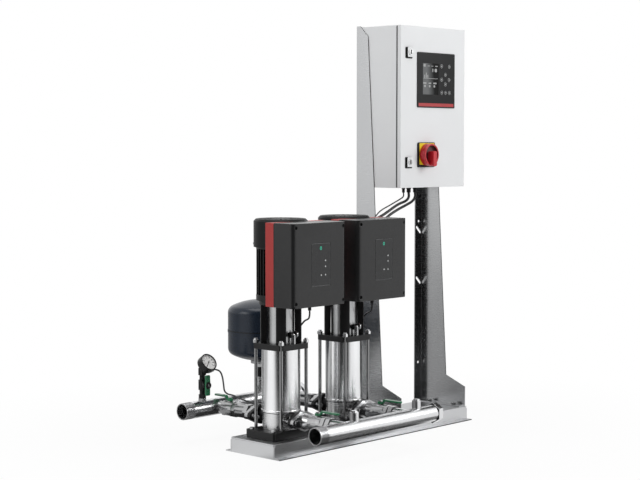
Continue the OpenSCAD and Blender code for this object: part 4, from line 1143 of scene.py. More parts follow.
@dataclass
class Pipework:
    """The two manifolds with their caps, and the flanges, valves and unions of both pumps."""

    bench: Bench
    thread_from: float = 3 * MM
    thread_pitch: float = 2.3 * MM
    ridges: int = 16
    ridge: float = 0.7 * MM
    pipe_r: float = 30.15 * MM
    thread_in: float = 0.45 * MM
    ball_r: float = 22 * MM
    lever_up: float = 50.1 * MM
    nut_up: float = 58.4 * MM
    nut_r: float = 8.6 * MM

    def build(self) -> None:
        """Dresses the pipes and fittings and threads the open ends."""
        for pipe in ("suction_manifold", "discharge_manifold"):
            self.bench.dress(pipe, PIPE, Slot.POLISHED, 0.5 * MM, [(THREADED, self.cap_end)])
            self.thread(pipe)
        # The caps' steps are painted near black, as painted shade.
        self.bench.dress("manifold_caps", PIPE, Slot.POLISHED, 0.8 * MM, [(CUT_AND_SHADE, self.cap_end)])
        self.bench.dress("counter_flanges", TURNED, Slot.FITTINGS, 0.6 * MM)
        for fitting in ("pipe_unions", "ball_valves"):
            self.bench.dress(fitting, TURNED, Slot.FITTINGS, 0.4 * MM, [(CUT_AND_SHADE, self.shoulder)])
        for number in (1, 2):
            for side in ("suction", "discharge"):
                self.lever(f"{side}_lever_{number}")

    @staticmethod
    def shoulder(middle: Vector, normal: Vector) -> bool:
        """The ends of the nuts along a branch, painted dark: partly their rougher finish, partly painted
        shade in the gaps between the nuts.
        """
        return abs(normal.y) > SQUARE

    @staticmethod
    def cap_end(middle: Vector, normal: Vector) -> bool:
        """The duller end faces of the pipes, and the steps at their caps, which the caps' dressing paints
        near black as shade.
        """
        return normal.x < -SQUARE

    def thread(self, pipe: str) -> None:
        """Puts thread ridges on a manifold's open end.

        Args:
            pipe: The manifold's node.
        """
        low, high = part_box(pipe)
        middle_y = low.y + self.pipe_r if pipe.startswith("suction") else high.y - self.pipe_r
        middle_z = low.z + self.pipe_r
        places = [(low.x + self.thread_from + i * self.thread_pitch, middle_y, middle_z)
                  for i in range(self.ridges)]
        mesh = ridge_recipe(THREADED).bake(f"{pipe}_thread", point_mesh("thread_points", places),
                                           {"Radius": self.pipe_r - self.thread_in, "Ridge": self.ridge})
        self.bench.show(f"{pipe}_thread", mesh, "frame", Slot.POLISHED)

    def lever(self, node: str) -> None:
        """Dresses a valve's ball and stem in steel and its lever in green.

        Args:
            node: The lever's node.
        """
        low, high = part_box(node)
        pivot_x = (low.x + high.x) / 2
        pivot_y = high.y - self.ball_r if node.startswith("suction") else low.y + self.ball_r

        def steel(middle: Vector, normal: Vector) -> bool:
            """The ball and stem below the lever, and the nut above it."""
            reach = math.hypot(middle.x - pivot_x, middle.y - pivot_y)
            return middle.z < low.z + self.lever_up or (middle.z > low.z + self.nut_up and reach < self.nut_r)

        self.bench.dress(node, GREEN, Slot.GREEN, 1.0 * MM, [(TURNED, steel)])


@dataclass
class Pump:
    """One upright pump: foot, chamber, sleeve and lantern head."""

    bench: Bench
    number: int
    flange_from: float = 71 * MM
    chamber_r: float = 66 * MM
    seam: float = 2.4 * MM
    seam_out: float = 0.5 * MM
    seam_in: float = 2 * MM

    def build(self) -> None:
        """Dresses the pump's own pieces."""
        name = f"pump_{self.number}"

        def cast(middle: Vector, normal: Vector) -> bool:
            """The cast stubs and flanges on both sides of the chamber."""
            return abs(middle.y) > self.flange_from

        self.bench.dress(f"{name}_foot", CASTING, Slot.CASTING, 1.6 * MM)
        self.bench.dress(f"{name}_chamber", SATIN_CAST, Slot.FITTINGS, 0.8 * MM, [(CASTING, cast)])
        self.bench.dress(f"{name}_sleeve", MIRROR, Slot.POLISHED, 1.2 * MM)
        self.bench.dress(f"{name}_head", CASTING, Slot.CASTING, 1.4 * MM)
        self.bench.dress(f"{name}_rotor", TURNED, Slot.INNER, 0.3 * MM)
        low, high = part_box(f"{name}_sleeve")
        seam = Print(self.seam)
        seam.ring(self.chamber_r + self.seam_out, self.chamber_r - self.seam_in)
        under = Face.level(((low.x + high.x) / 2, (low.y + high.y) / 2, low.z - self.seam))
        self.bench.detail(f"{name}_seam", seam.mesh("seam", under), SEAL_AND_SHADOW, "frame", Slot.SEAL_AND_SHADOW)


@dataclass
class PumpTrim:
    """What both pumps share: staybolts, coupling guards, vent plugs and stage stacks."""

    bench: Bench
    pitch: float = 327 * MM
    knob_reach: float = 11.2 * MM
    knob_from: float = 18 * MM
    nut_up: float = 20.5 * MM

    def build(self) -> None:
        """Dresses the shared pieces."""
        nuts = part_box("pump_1_sleeve")[1].z + self.nut_up

        def nut(middle: Vector, normal: Vector) -> bool:
            """The plated nuts on the head."""
            return middle.z > nuts

        self.bench.dress("staybolts", ROD, Slot.FITTINGS, 0.5 * MM, [(PIPE, nut)])
        self.bench.dress("coupling_guards", GUARD, Slot.POLISHED, 0.2 * MM)
        self.bench.dress("stage_stacks", PLATE, Slot.INNER, 0.0)
        low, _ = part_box("vent_plugs")

        def knob(middle: Vector, normal: Vector) -> bool:
            """The round knob at a plug's left end."""
            reach = (middle.x - low.x) % self.pitch
            return reach < self.knob_reach and middle.z > low.z + self.knob_from

        self.bench.dress("vent_plugs", TURNED, Slot.PLASTIC, 0.5 * MM, [(BLACK, knob)])


@dataclass
class Motor:
    """One finned motor with its slotted fan cover."""

    bench: Bench
    number: int
    screws: int = 4
    first: float = 45.0
    screw_z: float = 728 * MM
    screw_r: float = 4 * MM
    screw_h: float = 3 * MM

    def build(self) -> None:
        """Dresses the housing and its cover."""
        name = f"motor_{self.number}"
        self.bench.dress(f"{name}_housing", MOTOR_PAINT, Slot.MOTOR, 0.6 * MM)
        self.bench.dress(f"{name}_fan_cover", FAN_PAINT, Slot.FAN_COVER, 0.9 * MM)
        low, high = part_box(f"{name}_fan_cover")
        middle = (low + high) / 2
        reach = (high.x - low.x) / 2
        for turn in range(self.screws):
            angle = math.radians(self.first + 360 / self.screws * turn)
            tilt = (math.pi / 2, 0.0, math.pi / 2 + angle)
            mesh = screw_recipe(TURNED).bake(
                f"{name}_cover_screw_{turn}", point_mesh("screw_point", [(0.0, 0.0, 0.0)]),
                {"Radius": self.screw_r, "Height": self.screw_h, "Tilt": tilt})
            place = (middle.x + reach * math.cos(angle), middle.y + reach * math.sin(angle), self.screw_z)
            mesh.transform(Matrix.Translation(place))
            self.bench.show(f"{name}_cover_screw_{turn}", mesh, "frame", Slot.FITTINGS)


@dataclass
class Drive:
    """One motor drive: red frame, moulded cover, key panel, lamp and corner screws."""

    bench: Bench
    number: int
    keypad: Vec2 = (92 * MM, 146 * MM)
    keypad_x: float = 5 * MM
    keypad_in: float = 0.8 * MM
    keypad_r: float = 4 * MM
    foil: float = 0.3 * MM
    foil_gap: float = 0.6 * MM
    ink: float = 0.45 * MM
    line_gap: float = 1 * MM
    line_w: float = 0.9 * MM
    dot_r: float = 2.6 * MM
    dots: tuple[Vec2, ...] = ((27, 13), (27, -7), (6, -36), (27, -36))
    lamp: Vec2 = (4 * MM, 56 * MM)
    lamp_up: float = 0.6 * MM
    lamp_ring: tuple[float, float, float, float] = (9 * MM, 12 * MM, 4.4 * MM, 2.4 * MM)
    screw_in: float = 15 * MM
    screw_deep: float = 6.5 * MM
    screw_r: float = 4.5 * MM
    screw_h: float = 3 * MM
    # A thin black ring at the joint of cover and frame: a painted shadow in the gap.
    shadow_rim_t: float = 2.4 * MM
    shadow_rim_out: float = 0.5 * MM
    shadow_rim_r: float = 6 * MM
    shadow_rim_w: float = 3 * MM
    shadow_rim_back: float = 0.6 * MM

    def build(self) -> None:
        """Dresses the drive and prints its key panel."""
        name = f"drive_{self.number}"
        self.bench.dress(f"{name}_frame", RED_PAINT, Slot.RED_FRAME, 1.2 * MM)
        self.bench.dress(f"{name}_cover", COVER, Slot.COVER, 1.4 * MM)
        low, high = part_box(f"{name}_cover")
        middle_x, middle_z = (low.x + high.x) / 2, (low.z + high.z) / 2
        self.print_panel(name, Face((middle_x + self.keypad_x, low.y + self.keypad_in, middle_z)))
        corners = [(middle_x + side * (high.x - middle_x - self.screw_in), low.y + self.screw_deep,
                    middle_z + rise * (high.z - middle_z - self.screw_in))
                   for side in (-1, 1) for rise in (-1, 1)]
        screws = screw_recipe(BLACK).bake(f"{name}_screws", point_mesh("corners", corners),
                                          {"Radius": self.screw_r, "Height": self.screw_h, "Tilt": TO_FRONT})
        self.bench.show(f"{name}_screws", screws, "frame", Slot.PLASTIC)
        self.shadow_rim(name)

    def print_panel(self, name: str, face: Face) -> None:
        """Prints the key panel's foil, line, dots and lamp.

        Args:
            name: The drive's name.
            face: The key panel's plane.
        """
        width, height = self.keypad
        foil = Print(self.foil)
        foil.area(rounded(width - self.foil_gap, height - self.foil_gap, self.keypad_r))
        self.bench.detail(f"{name}_keypad", foil.mesh("keypad", face), KEYPAD, "frame", Slot.COVER)
        line = Print(self.ink)
        line.frame(width - self.line_gap, height - self.line_gap, self.keypad_r, self.line_w)
        self.bench.detail(f"{name}_line", line.mesh("line", face), FAINT, "frame", Slot.COVER)
        ink = Print(self.ink)
        shift = -self.keypad_x
        for x, z in self.dots:
            ink.disc(self.dot_r, (x * MM + shift, z * MM))
        self.bench.detail(f"{name}_marks", ink.mesh("marks", face), MARK, "frame", Slot.COVER)
        lamp = Print(self.lamp_up)
        lamp.frame(*self.lamp_ring, (self.lamp[0] + shift, self.lamp[1]))
        self.bench.detail(f"{name}_lamp", lamp.mesh("lamp", face), GREEN_LAMP, "frame", Slot.COVER)

    def shadow_rim(self, name: str) -> None:
        """Puts a thin black ring around the joint of cover and frame: a painted shadow in the gap.

        Args:
            name: The drive's name.
        """
        low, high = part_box(f"{name}_cover")
        ring = Print(self.shadow_rim_t)
        ring.frame(high.x - low.x + self.shadow_rim_out, high.z - low.z + self.shadow_rim_out, self.shadow_rim_r,
                   self.shadow_rim_w)
        face = Face(((low.x + high.x) / 2, high.y + self.shadow_rim_back, (low.z + high.z) / 2))
        self.bench.detail(f"{name}_gasket", ring.mesh("shadow_rim", face), SEAL_AND_SHADOW, "frame", Slot.SEAL_AND_SHADOW)


@dataclass
class Tank:
    """The pressure tank and the valve that it stands on."""

    bench: Bench
    body: Vec2 = (201.5 * MM, 238.5 * MM)
    seam: float = 2 * MM
    seam_out: float = 0.3 * MM
    seam_in: float = 2 * MM

    def build(self) -> None:
        """Dresses the tank, and its valve in plated steel with a black body."""
        self.bench.dress("tank", TANK, Slot.TANK, 0.0)
        low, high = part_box("tank")
        reach = (high.x - low.x) / 2
        seam = Print(self.seam)
        seam.ring(reach + self.seam_out, reach - self.seam_in)
        middle = Face.level(tuple((low + high) / 2))
        self.bench.detail("tank_seam", seam.mesh("seam", middle), BLACK, "frame", Slot.TANK)

        def black(middle: Vector, normal: Vector) -> bool:
            """The valve's moulded body between its nuts."""
            return self.body[0] < middle.z < self.body[1]

        self.bench.dress("tank_valve", TURNED, Slot.BRASS, 0.6 * MM, [(BLACK, black)])


@dataclass
class GaugeSet:
    """The pressure gauge on its riser, with its cock, sensor, printed dial and pane."""

    bench: Bench
    elbow: Vec3 = (-460 * MM, 332 * MM, 264 * MM)
    lean: float = 35.0
    dial_at: float = 42 * MM
    dial_r: float = 29.3 * MM
    scale_from: float = 225.0
    scale_turn: float = 270.0
    figures: tuple[str, ...] = ("0", "2", "4", "6", "8", "10", "12", "14", "16")
    minor: int = 5
    main_tick: Vec3 = (6.4 * MM, 1.8 * MM, 0.25 * MM)
    minor_tick: Vec3 = (3.4 * MM, 0.7 * MM, 0.25 * MM)
    tick_in: float = 2.2 * MM
    tick_up: float = 0.4 * MM
    figure_h: float = 6.2 * MM
    figure_in: float = 11.5 * MM
    figure_up: float = 0.32 * MM
    figure_t: float = 0.03 * MM
    figure_bold: float = 0.15 * MM
    dial_t: float = 0.3 * MM
    hub_r: float = 12.6 * MM
    hub_front: float = 3.9 * MM
    screw_r: float = 4 * MM
    screw_t: float = 0.4 * MM

    def build(self) -> None:
        """Dresses the gauge and prints its dial."""
        self.bench.dress("gauge_valve", BLACK, Slot.PLASTIC, 0.0)
        self.bench.dress("gauge_case", BLACK, Slot.PLASTIC, 1.0 * MM)
        self.bench.dress("pressure_sensor", SENSOR, Slot.SENSOR, 0.6 * MM)
        self.bench.dress("gauge_needle", INK, Slot.NEEDLE, 0.1 * MM)
        low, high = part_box("gauge_handle")

        def knob(middle: Vector, normal: Vector) -> bool:
            """The hub at the middle of the cock's handle, on its front."""
            reach = math.hypot(middle.x - (low.x + high.x) / 2, middle.z - (low.z + high.z) / 2)
            return reach < self.hub_r and middle.y < low.y + self.hub_front

        self.bench.dress("gauge_handle", GREEN, Slot.GREEN, 0.8 * MM, [(BLACK, knob)])
        screw = Print(self.screw_t)
        screw.disc(self.screw_r)
        axis = box_mid("gauge_handle")
        self.bench.detail("gauge_handle_screw", screw.mesh("screw", Face((axis.x, low.y, axis.z))), TURNED,
                          self.bench.body["gauge_handle"], Slot.FITTINGS)
        lens = self.bench.skin("gauge_lens", 0.2 * MM)
        lens.materials.append(PANE.material())
        self.bench.show("gauge_lens_look", lens, "frame", Slot.GLASS, ["gauge_lens"])
        face = self.face()
        dial = Print(self.dial_t)
        dial.disc(self.dial_r, steps=64)
        self.bench.detail("gauge_dial", dial.mesh("dial", face), DIAL, "frame", Slot.PLASTIC)
        main = len(self.figures)
        self.ticks("gauge_main_ticks", main, self.main_tick, face)
        self.ticks("gauge_minor_ticks", (main - 1) * self.minor + 1, self.minor_tick, face)
        self.numbers(face)

    def face(self) -> Face:
        """Works out the dial's plane, which leans back from the front.

        Returns:
            The plane.
        """
        lean = math.radians(self.lean)
        normal = Vector((0.0, -math.cos(lean), math.sin(lean)))
        up = Vector((0.0, math.sin(lean), math.cos(lean)))
        return Face(tuple(Vector(self.elbow) + normal * self.dial_at), (1.0, 0.0, 0.0), tuple(up))

    def ticks(self, name: str, count: int, size: Vec3, face: Face) -> None:
        """Fans ticks along the dial's scale.

        Args:
            name: The piece's name.
            count: How many ticks.
            size: A tick's length, width and thickness.
            face: The dial's plane.
        """
        step = -math.radians(self.scale_turn) / (count - 1)
        reach = (self.dial_r - self.tick_in - size[0] / 2, 0.0, self.tick_up)
        mesh = tick_recipe(INK).bake(name, point_mesh("ticks", [(0.0, 0.0, 0.0)] * count),
                                     {"Size": size, "Reach": reach, "First": math.radians(self.scale_from),
                                      "Step": step})
        mesh.transform(face.matrix())
        self.bench.show(name, mesh, "frame", Slot.NEEDLE)

    def numbers(self, face: Face) -> None:
        """Prints the scale's figures.

        Args:
            face: The dial's plane.
        """
        shell = bmesh.new()
        for i, figure in enumerate(self.figures):
            text = bpy.data.curves.new("figure", "FONT")
            text.body = figure
            text.size = self.figure_h
            text.align_x = "CENTER"
            text.align_y = "CENTER"
            text.extrude = self.figure_t
            text.offset = self.figure_bold
            text.resolution_u = 3
            mesh = plain(linked("figure", text))
            angle = math.radians(self.scale_from - self.scale_turn * i / (len(self.figures) - 1))
            reach = self.dial_r - self.figure_in
            place = (reach * math.cos(angle), reach * math.sin(angle), self.figure_up)
            mesh.transform(Matrix.Translation(place))
            shell.from_mesh(mesh)
            bpy.data.meshes.remove(mesh)
        mesh = mesh_of(shell, "gauge_figures")
        mesh.transform(face.matrix())
        self.bench.detail("gauge_figures", mesh, INK, "frame", Slot.NEEDLE)


@dataclass
class Cabinet:
    """The control cabinet: body, door with its locks, operating panel and main switch, and what is inside."""

    bench: Bench
    gear_deep: float = 61 * MM
    lock_from: float = -1 * MM
    lock_to: float = 7.6 * MM
    lock_reach: Vec2 = (19 * MM, 40 * MM)
    lock_plate: Vec2 = (34 * MM, 37 * MM)
    lock_r: float = 11 * MM
    slot_deep: Vec2 = (0.4 * MM, 2.4 * MM)
    slot_half: float = 2 * MM
    insert: Vec3 = (7 * MM, 17 * MM, 3.4 * MM)
    insert_t: float = 0.3 * MM
    # A black plate behind each lock, set off to the left and down: a painted shadow of the lock housing.
    shadow_rim_t: float = 1.2 * MM
    shadow_rim_out: float = 5 * MM
    shadow_rim_r: float = 4 * MM
    shadow_rim_at: Vec2 = (-2.4 * MM, -2.4 * MM)
    shadow_rim_in: float = 8 * MM
    foil_y: float = -92 * MM
    foil_t: float = 0.2 * MM
    foil_edge: float = 5 * MM
    strip_h: float = 12 * MM
    strip_r: float = 1.5 * MM
    strip_drop: float = 0.3 * MM
    screen: tuple[float, float, float, float] = (273 * MM, 1258 * MM, 365 * MM, 1375 * MM)
    screen_t: float = 0.4 * MM
    screen_gap: float = 0.4 * MM
    screen_r: float = 1 * MM
    screen_in: float = 1 * MM
    keys: tuple[Vec2, ...] = (
        (384, 1366), (430, 1366), (407, 1335), (384, 1316), (429, 1316), (407, 1299), (385, 1267),
        (408, 1267), (431, 1267))
    key_r: float = 6.5 * MM
    key_line: float = 0.55 * MM
    key_up: float = 0.2 * MM
    dot_r: float = 2.4 * MM
    ink: float = 0.5 * MM
    signs: tuple[tuple[float, float, float, float], ...] = (
        (0.11, 0.07, 0.13, 0.09), (0.38, 0.085, 0.14, 0.02), (0.60, 0.085, 0.14, 0.02),
        (0.87, 0.085, 0.16, 0.03), (0.64, 0.22, 0.06, 0.11), (0.83, 0.22, 0.15, 0.11),
        (0.12, 0.42, 0.05, 0.10), (0.22, 0.385, 0.05, 0.17), (0.32, 0.42, 0.05, 0.10),
        (0.50, 0.485, 0.92, 0.014), (0.13, 0.635, 0.2, 0.05), (0.45, 0.635, 0.16, 0.04),
        (0.78, 0.635, 0.2, 0.05), (0.14, 0.73, 0.1, 0.07), (0.44, 0.73, 0.1, 0.07), (0.74, 0.73, 0.1, 0.07))
    # Insets of the yellow field at left, foot, right and top; the wider left and foot margins leave black
    # that is partly painted shadow.
    yellow_in: tuple[float, float, float, float] = (9 * MM, 9 * MM, 4 * MM, 3 * MM)
    yellow_t: float = 0.25 * MM
    yellow_r: float = 4 * MM
    dish_in: float = 5 * MM
    dish_from: float = 17 * MM

    def build(self) -> None:
        """Dresses the cabinet, its door and its gear."""
        self.bench.dress("cabinet_body", CABINET, Slot.CABINET, 1.0 * MM)
        self.bench.dress("door_seal", SEAL_AND_SHADOW, Slot.SEAL_AND_SHADOW, 0.0)
        self.bench.dress("cable_glands", BLACK, Slot.PLASTIC, 0.6 * MM)
        plate_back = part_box("mounting_plate")[0].y

        def gear(middle: Vector, normal: Vector) -> bool:
            """The moulded gear that stands on the rails."""
            return middle.y < plate_back + self.gear_deep

        self.bench.dress("mounting_plate", PLATE, Slot.INNER, 0.5 * MM, [(GEAR, gear)])
        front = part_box("door_panel")[0].y
        locks = [box_mid(lock) for lock in ("upper_lock", "lower_lock")]

        def lock_side(middle: Vector, normal: Vector) -> bool:
            """The sides of the lock housings on the door, painted black as shade."""
            wide, tall = self.lock_reach
            beside = any(abs(middle.x - lock.x) < wide and abs(middle.z - lock.z) < tall for lock in locks)
            level = front + self.lock_from < middle.y < front + self.lock_to
            return beside and level and abs(normal.y) < ASIDE

        self.bench.dress("door_panel", CABINET, Slot.CABINET, 1.0 * MM, [(BLACK, lock_side)])
        for lock in ("upper_lock", "lower_lock"):
            self.lock(lock)
        self.panel()
        self.switch()

    def lock(self, node: str) -> None:
        """Dresses a lock, with its key slot painted black as shade, and a black plate behind it as its
        painted shadow.

        Args:
            node: The lock's node.
        """
        low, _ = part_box(node)
        axis = box_mid(node)
        axis.z = low.z + self.lock_r

        def key_slot(middle: Vector, normal: Vector) -> bool:
            """The slot's floor and walls, painted black as the shade in the slot."""
            top, floor = self.slot_deep
            return low.y + top < middle.y < low.y + floor and abs(middle.x - axis.x) < self.slot_half

        self.bench.dress(node, ZINC, Slot.ZINC, 0.3 * MM, [(BLACK, key_slot)])
        insert = Print(self.insert_t)
        insert.area(rounded(*self.insert))
        self.bench.detail(f"{node}_insert", insert.mesh("insert", Face((axis.x, low.y, axis.z))), BLACK,
                          self.bench.body[node], Slot.ZINC)
        # Painted shadow: a black plate behind the lock, shifted left and down.
        width, height = self.lock_plate
        shadow_rim = Print(self.shadow_rim_t)
        shadow_rim.area(rounded(width + self.shadow_rim_out, height + self.shadow_rim_out, self.shadow_rim_r), self.shadow_rim_at)
        place = Face((axis.x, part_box("door_panel")[0].y + self.shadow_rim_in, axis.z))
        self.bench.detail(f"{node}_gasket", shadow_rim.mesh("shadow_rim", place), SEAL_AND_SHADOW, "door", Slot.SEAL_AND_SHADOW)

    def panel(self) -> None:
        """Dresses the operating panel with its foil, display, keys and red strip."""
        self.bench.dress("hmi_panel", BLACK, Slot.PANEL, 0.6 * MM)
        low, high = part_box("hmi_panel")
        width, height = high.x - low.x, high.z - low.z
        middle = ((low.x + high.x) / 2, self.foil_y, (low.z + high.z) / 2)
        left, foot, right, top = self.screen
        screen_mid = ((left + right) / 2 - middle[0], (foot + top) / 2 - middle[2])
        edge = self.foil_edge
        outline = (-width / 2 + edge, -height / 2 + edge + self.strip_h, width / 2 - edge, height / 2 - edge)
        hole = (left - middle[0], foot - middle[2], right - middle[0], top - middle[2])
        foil = Print(self.foil_t)
        foil.band(*([(box[0], box[1]), (box[2], box[1]), (box[2], box[3]), (box[0], box[3])]
                    for box in (outline, hole)))
        self.bench.detail("panel_foil", foil.mesh("foil", Face(middle)), FOIL, "door", Slot.PANEL)
        strip = Print(self.foil_t)
        strip.area(rounded(width - 3 * edge, self.strip_h, self.strip_r),
                   (0.0, -height / 2 + edge + self.strip_h / 2 - self.strip_drop))
        self.bench.detail("panel_strip", strip.mesh("strip", Face(middle)), FOIL_RED, "door", Slot.PANEL)
        glass = Print(self.screen_t)
        glass.area(rounded(right - left - self.screen_gap, top - foot - self.screen_gap, self.screen_r),
                   screen_mid)
        display = Face((middle[0], self.foil_y + self.screen_in, middle[2]))
        # The display's paler left side is a painted sheen.
        self.bench.detail("panel_display", glass.mesh("display", display),
                          Screen("display_painted_sheen", *self.screen), "door", Slot.PANEL)
        self.readout(display, screen_mid, (right - left, top - foot))
        places = [(x * MM, self.foil_y - self.key_up, z * MM) for x, z in self.keys]
        rings = key_recipe(MARK).bake("panel_keys", point_mesh("keys", places),
                                      {"Radius": self.key_r, "Line": self.key_line})
        self.bench.show("panel_keys", rings, "door", Slot.PANEL)
        dots = Print(self.ink)
        for x, z in self.keys:
            dots.disc(self.dot_r, (x * MM - middle[0], z * MM - middle[2]))
        self.bench.detail("panel_dots", dots.mesh("dots", Face(middle)), MARK, "door", Slot.PANEL)

    def readout(self, face: Face, middle: Vec2, size: Vec2) -> None:
        """Draws plain bars and lines on the display.

        Args:
            face: The display's plane.
            middle: The display's middle on that plane.
            size: Its width and height.
        """
        width, height = size
        marks = Print(self.ink)
        for across, down, wide, tall in self.signs:
            bar_w, bar_h = wide * width, tall * height
            marks.area(rounded(bar_w, bar_h, min(bar_w, bar_h) * 0.2, 2),
                       (middle[0] + width * (across - 0.5), middle[1] + height * (0.5 - down)))
        self.bench.detail("panel_readout", marks.mesh("readout", face), READOUT, "door", Slot.PANEL)

    def switch(self) -> None:
        """Dresses the main switch: a black plate with a yellow field, whose wider black margin at the left
        and foot is partly the plate's rim and partly painted shadow, and a red handle with painted shade
        inside its dish.
        """
        self.bench.dress("switch_plate", BLACK, Slot.YELLOW, 0.5 * MM)
        low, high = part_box("switch_plate")
        left, foot, right, top = self.yellow_in
        field = Print(self.yellow_t)
        field.area(rounded(high.x - low.x - left - right, high.z - low.z - foot - top, self.yellow_r),
                   ((left - right) / 2, (foot - top) / 2))
        middle = box_mid("switch_plate")
        face = Face((middle.x, low.y, middle.z))
        self.bench.detail("switch_field", field.mesh("field", face), YELLOW, "door", Slot.YELLOW)
        handle_low, handle_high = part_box("switch_handle")
        floor = handle_low.y + self.dish_from
        reach = handle_high.x - middle.x - self.dish_in

        def deep(place: Vector, normal: Vector) -> bool:
            """The floor and the wall of the handle's dish, painted darker as shade."""
            away = math.hypot(place.x - middle.x, place.z - middle.z)
            inward = normal.y < -FACING or normal.x * (place.x - middle.x) < 0
            return away < reach and place.y > floor and inward

        self.bench.dress("switch_handle", RED, Slot.RED, 1.2 * MM, [(RED_SHADE, deep)])


@dataclass(frozen=True)
class Cable:
    """A free cable: its name, radius, finish and the route that its CAD solid follows, in millimetres."""

    name: str
    radius: float
    finish: Finish
    slot: Slot
    route: tuple[Vec3, ...]
    step: float = 4 * MM

    def path(self) -> list[Vector]:
        """Draws the route as one smooth line through its points.

        Returns:
            The line's points, in metres.
        """
        points = [Vector(point) * MM for point in self.route]
        ghosts = [2 * points[0] - points[1], *points, 2 * points[-1] - points[-2]]
        line = [points[0]]
        for a, b, c, d in zip(ghosts, ghosts[1:], ghosts[2:], ghosts[3:]):
            parts = max(2, round((c - b).length / self.step))
            for i in range(1, parts + 1):
                t = i / parts
                line.append(0.5 * (2 * b + (c - a) * t + (2 * a - 5 * b + 4 * c - d) * t * t
                                   + (3 * b - a - 3 * c + d) * t ** 3))
        return line

    def build(self, bench: Bench) -> None:
        """Args:
            bench: The bench that shows the piece.
        """
        line = self.path()
        mesh = cable_recipe(self.finish).bake(self.name, point_mesh("route", [tuple(p) for p in line], True),
                                              {"Radius": self.radius * MM, "Sides": 20})
        piece = bench.show(f"{self.name}_look", mesh, "frame", self.slot, [self.name])


def probe_route(x: float) -> tuple[Vec3, ...]:
    """The route of a probe cable, from the drive's underside to the pump head."""
    return tuple((x + dx, y, z) for dx, y, z in (
        (30, -110, 498), (30, -110, 484), (40, -97, 470), (54, -76, 462), (68, -50, 454), (69, -32, 438),
        (60, -22, 418), (60, -22, 398)))


CABLES = (
    Cable("power_cable_1", 5.0, JACKET, Slot.BLACK_CABLE, (
        (326, 20, 888), (326, 20, 870), (306, 18, 856), (246, 10, 842), (150, 10, 802), (100, 50, 776),
        (45, 98, 748), (-35, 126, 718), (-112, 112, 690), (-170, 78, 668), (-225, 48, 656), (-262, 20, 651),
        (-278, -14, 650), (-278, -34.5, 650))),
    Cable("power_cable_2", 5.0, JACKET, Slot.BLACK_CABLE, (
        (364, 20, 888), (364, 20, 870), (344, 17, 854), (300, 10, 841), (240, 4, 824), (188, 4, 802),
        (146, 8, 770), (112, 14, 732), (84, 16, 694), (62, 8, 664), (49, -14, 650), (49, -34.5, 650))),
    Cable("bus_cable", 2.5, JACKET, Slot.BLACK_CABLE, (
        (295, 20, 888), (295, 20, 874), (274, 18, 864), (205, 10, 843), (150, 8, 824), (116, 8, 800),
        (90, 12, 768), (68, 12, 738), (53, 4, 716), (49, -16, 710), (49, -34.5, 710))),
    Cable("probe_cable_1", 3.0, JACKET, Slot.BLACK_CABLE, probe_route(-390)),
    Cable("probe_cable_2", 3.0, JACKET, Slot.BLACK_CABLE, probe_route(-63)),
    Cable("meter_cable", 3.0, GREY_JACKET, Slot.GREY_CABLE, (
        (-406, 332, 251), (-394, 332, 251), (-374, 331, 242), (-362, 331, 222), (-356, 331, 194),
        (-350, 332, 168), (-338, 328, 155), (-328, 306, 150), (-322, 260, 138), (-319, 190, 132),
        (-318, 120, 134), (-318, 86, 146), (-318, 74, 176), (-318, 73, 240), (-318, 73, 310), (-318, 73, 380),
        (-318, 73, 460), (-314, 68, 530), (-300, 44, 578), (-284, 10, 597), (-278, -14, 600),
        (-278, -34.5, 600))),
)


@dataclass(frozen=True)
class SoftLamp:
    """A square soft lamp: where it stands, what it points at, its side in metres and its power in watts."""

    name: str
    place: Vec3
    target: Vec3
    size: float
    power: float

    def build(self) -> None:
        """Adds the lamp to the scene."""
        light = bpy.data.lights.new(self.name, "AREA")
        light.size = self.size
        light.energy = self.power
        item = linked(self.name, light)
        item.location = self.place
        item.rotation_euler = (Vector(self.target) - Vector(self.place)).to_track_quat("-Z", "Y").to_euler()


LAMPS = (
    SoftLamp("key_lamp", (3.0, -4.2, 3.2), (0.1, 0.0, 0.9), 2.6, 150.0),
    SoftLamp("side_lamp", (-4.6, 1.6, 2.4), (0.0, 0.0, 0.8), 2.4, 52.0),
    SoftLamp("top_lamp", (-0.4, 0.2, 4.2), (0.0, 0.0, 0.6), 2.6, 60.0),
)


class Shade(Enum):
    """A dark card's brightness at its middle, and the share of its width that each fading side takes."""

    CAMERA = (0.012, 0.28)
    FLOOR = (0.03, 0.25)
    PIPE = (0.16, 0.10)
    REAR = (0.03, 0.02)
    BACK = (0.50, 0.08)
    LEG = (0.004, 0.05)


